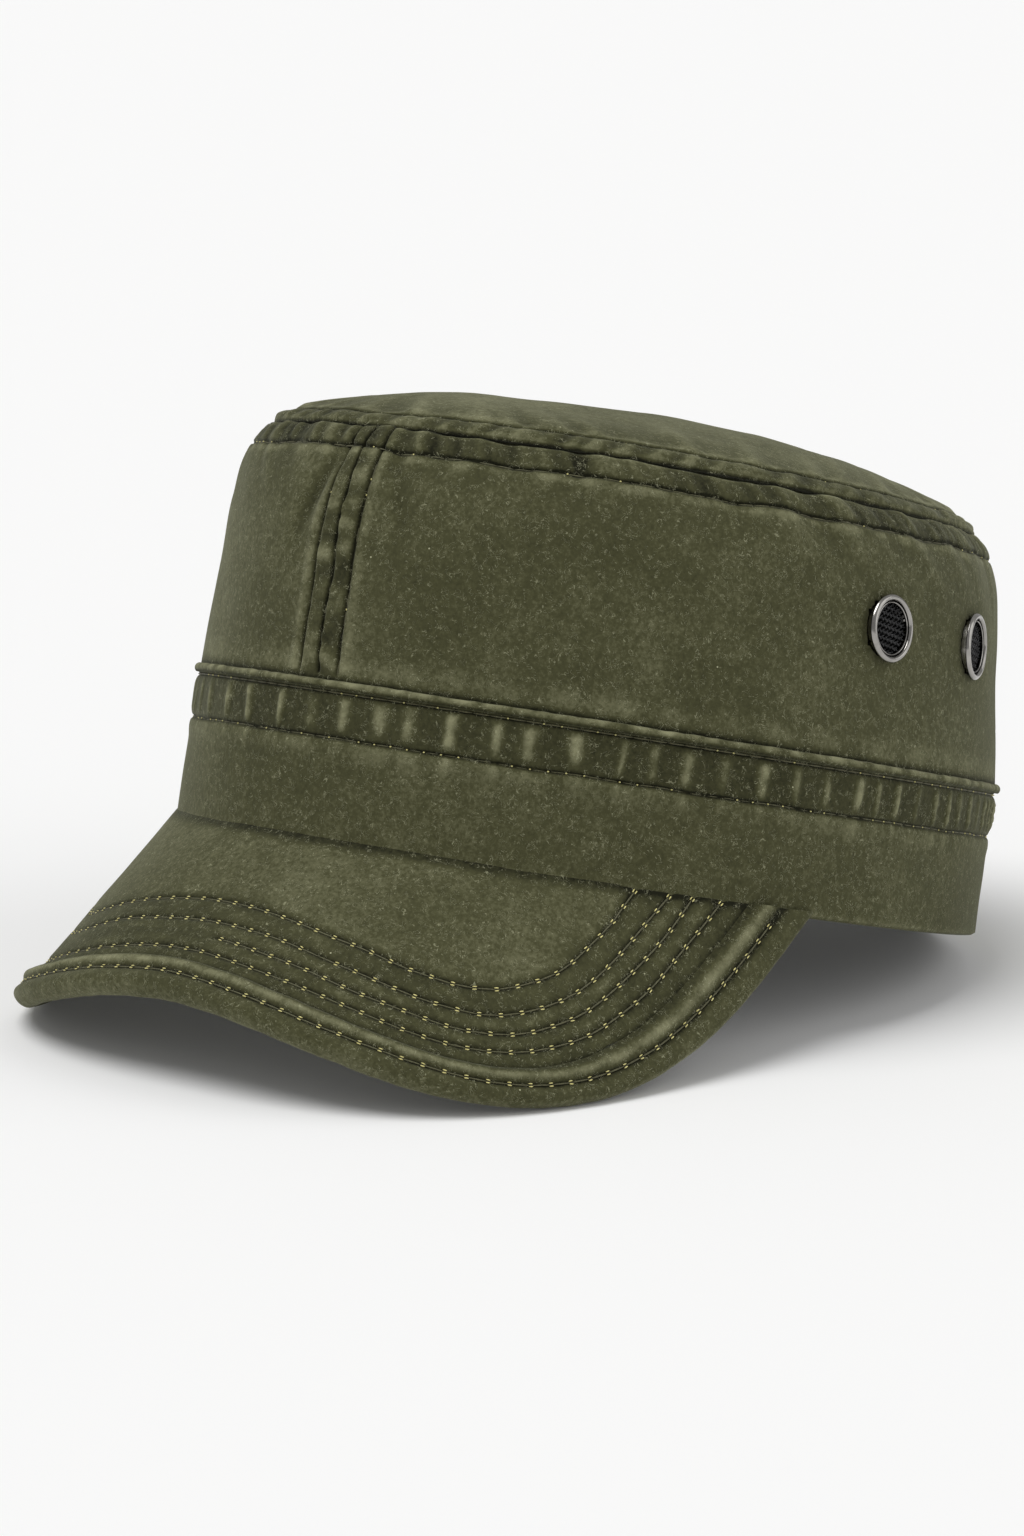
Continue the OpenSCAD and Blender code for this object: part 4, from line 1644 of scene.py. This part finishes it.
def sew(name, rows, body="cap", glint=None, thread=0.36, lift=0.12):
    """Sews rows of stitches. Each row is a list of holes with the direction out of the cloth."""
    points, faces, finishes = [], [], []

    def add(seat, finish):
        first = len(points)
        points.extend(seat @ point for point in stitch_points)
        faces.extend(tuple(first + i for i in face) for face in stitch_faces)
        finishes.extend([finish] * len(stitch_faces))

    for number, row in enumerate(rows):
        for (here, out), (there, _) in zip(row, row[1:]):
            length = (there - here).length * 1.04
            add(
                stitch_seat(here + out * lift, there + out * lift, out, (length, thread, thread)), 0
            )
        for i, (here, out) in enumerate(row if glint else []):
            chance = noise.noise(Vector((i * 0.73 + number * 5.1, 1.7, number)))
            if chance < glint["skip"]:
                continue
            ahead = (row[min(i + 1, len(row) - 1)][0] - row[max(i - 1, 0)][0]).normalized()
            side = out.cross(ahead)
            for offset in glint["offsets"]:
                spot = here + side * offset + out * (lift + glint["lift"])
                tilt = ahead + side * 0.35 * noise.noise(Vector((i * 1.9, offset * 9, 3.3)))
                half = tilt.normalized() * glint["length"] / 2
                size = (glint["length"], glint["width"], glint["width"])
                add(stitch_seat(spot - half, spot + half, out, size), 1)
    mesh = bpy.data.meshes.new(name)
    mesh.from_pydata(points, [], faces)
    stitches = bpy.data.objects.new(name, mesh)
    scene.collection.objects.link(stitches)
    finish_piece(stitches, olive_thread, body=body)
    mesh.materials.append(glint_thread)
    mesh.polygons.foreach_set("material_index", finishes)
    return stitches


def row_on(form, line, first, last, pitch, sink=0.0, beside=0.6):
    """Holes of a row: form gives a finished surface, and line(t) the two values to give it."""

    def place(t):
        return form(*line(t))[0]

    holes = []
    for t in even_steps(place, first, last, pitch):
        here = place(t)
        value, other = line(t)
        ahead = place(t + (last - first) * 0.0005) - place(t - (last - first) * 0.0005)
        across = form(value, other + beside)[0] - form(value, other - beside)[0]
        out = ahead.cross(across).normalized()
        holes.append((here - out * sink, out))
    return holes


paired_glint = {"skip": -0.6, "offsets": (-0.34, 0.34), "length": 1.0, "width": 0.29, "lift": 0.16}
point_glint = {"skip": -0.1, "offsets": (0.0,), "length": 0.46, "width": 0.34, "lift": 0.16}


def band_surface(angle, height):
    stand, wear_and_highlight, painted_shade = band_shape(angle, height)
    return rim_place(angle, 0, height) + stand * rim_outward(angle), wear_and_highlight, painted_shade


sew(
    "band_lower_stitches",
    [row_on(band_surface, lambda a: (a, lower_row(a)), -back_end(24), back_end(24), 3.9)],
    glint=point_glint,
)
sew(
    "band_upper_stitches",
    [row_on(band_surface, lambda a: (a, upper_row_height), -back_end(33), back_end(33), 3.9)],
    glint=dict(point_glint, skip=0.1),
)


def edge_share(distance):
    """The share of the dome that lies a distance in from its edge."""
    return 1 - (distance - edge_turn) / dome_run


sew(
    "top_seam_stitches",
    [
        row_on(wall_form, lambda a: (a, top_row_height(a)), -math.pi, math.pi, 3.9, 0.1),
        row_on(
            dome_form,
            lambda a: (a, edge_share(upper_row(a))),
            -math.pi,
            math.pi,
            3.9,
            0.1,
            beside=-0.006,
        ),
    ],
    glint=dict(point_glint, skip=0.3),
)


def felled_line(across, middle):
    """An upright row beside the middle of the front or back, from the band up to the top row."""

    def line(t):
        height = band_height + 1.2 + (seam_height - 5.5 - band_height - 1.2) * t
        off = across + seam_wander(height, felled_half)
        near = math.asin(off / wall_half_width)
        return (near if middle == 0 else math.pi - near), height

    return line


for name, middle in (("front", 0.0), ("back", math.pi)):
    first = 0.0 if middle == 0 else 0.3
    rows = [
        row_on(wall_form, felled_line(side * felled_half, middle), first, 1, 3.7, 0.05)
        for side in (-1, 1)
    ]
    sew(f"{name}_seam_stitches", rows, glint=dict(point_glint, skip=0.15))


def peak_line(number):
    return lambda u: (u, peak_row(number, u))


def outer_end(number):
    """The station at which a row of the peak reaches the band."""
    station = 0.6
    while station < 0.995:
        place = peak_place(station, peak_row_insets[number])
        if place.y > root_y(place.x) - 0.7:
            break
        station += 0.002
    return station


peak_rows = []
for number in range(len(peak_row_insets)):
    end = outer_end(number)
    start = third_row_start if number == 2 else -end
    peak_rows.append(row_on(upper_form, peak_line(number), start, end, 4.7, 0.05))
    peak_rows.append(row_on(lower_form, peak_line(number), end, start, 4.7))
sew("peak_row_stitches", peak_rows, glint=paired_glint)


def binding_face(hidden_side):
    """The binding beside its row, over (hidden side 1) or under (hidden side -1) the peak."""
    level = min(
        (abs(inset - binding_row) + (10 if depth * hidden_side > 0 else 0), i)
        for i, (inset, depth) in enumerate(binding_loop)
    )[1]

    def form(station, beside):
        near = binding_form(station, level)[0]
        far = binding_form(station, level + 1)[0]
        return near + (far - near) * beside / 0.6, 0, 0

    return form


sew(
    "binding_stitches",
    [row_on(binding_face(side), lambda u: (u, 0.0), 0.97, -0.97, 4.7) for side in (1, -1)],
    glint=paired_glint,
)


def arch_face(t, beside):
    """A place on the outer face of the opening's binding, along its row."""
    row_radius = opening_half_width + arch_row
    total = 2 * opening_sides + math.pi * row_radius
    run = t * total
    radius = row_radius + beside
    if run < opening_sides:
        x, height = radius, run
    elif run > total - opening_sides:
        x, height = -radius, total - run
    else:
        turn = (run - opening_sides) / row_radius
        x, height = radius * math.cos(turn), opening_sides + radius * math.sin(turn)
    place = cover_place(x, height, -0.85)
    return place, 0, 0


sew("opening_stitches", [row_on(arch_face, lambda t: (t, 0.0), 0.01, 0.99, 3.7)])


def strap_face(side):
    """A place just over the outer (1) or inner (-1) face of the strap."""
    out = side * (strap_thickness / 2 - 0.12)
    return lambda angle, height: (strap_place(angle, out, height), 0, 0)


strap_rows = [
    row_on(strap_face(side), lambda a, z=z: (a, z), *ends, 3.4)
    for z in (strap_foot + strap_row, strap_foot + strap_width - strap_row)
    for side, ends in (
        (1, (-strap_reach + 0.01, strap_reach - 0.01)),
        (-1, (strap_reach - 0.01, -strap_reach + 0.01)),
    )
]
sew("strap_stitches", strap_rows, body="strap")

sweat_row_height = sweatband_top - sweatband_row


def sweat_face(angle, height):
    """A place on the inner face of the sweatband."""
    place = rim_place(angle, sweatband_inner, height)
    return place + rim_outward(angle) * (sweatband_sway(place, angle, height) + 0.2), 0, 0


sweat_end = math.pi - math.asin(sweatband_gap / sweatband_half_width) - 0.02
sew(
    "sweatband_stitches",
    [row_on(sweat_face, lambda a: (a, sweat_row_height), sweat_end, -sweat_end, 3.6)],
)
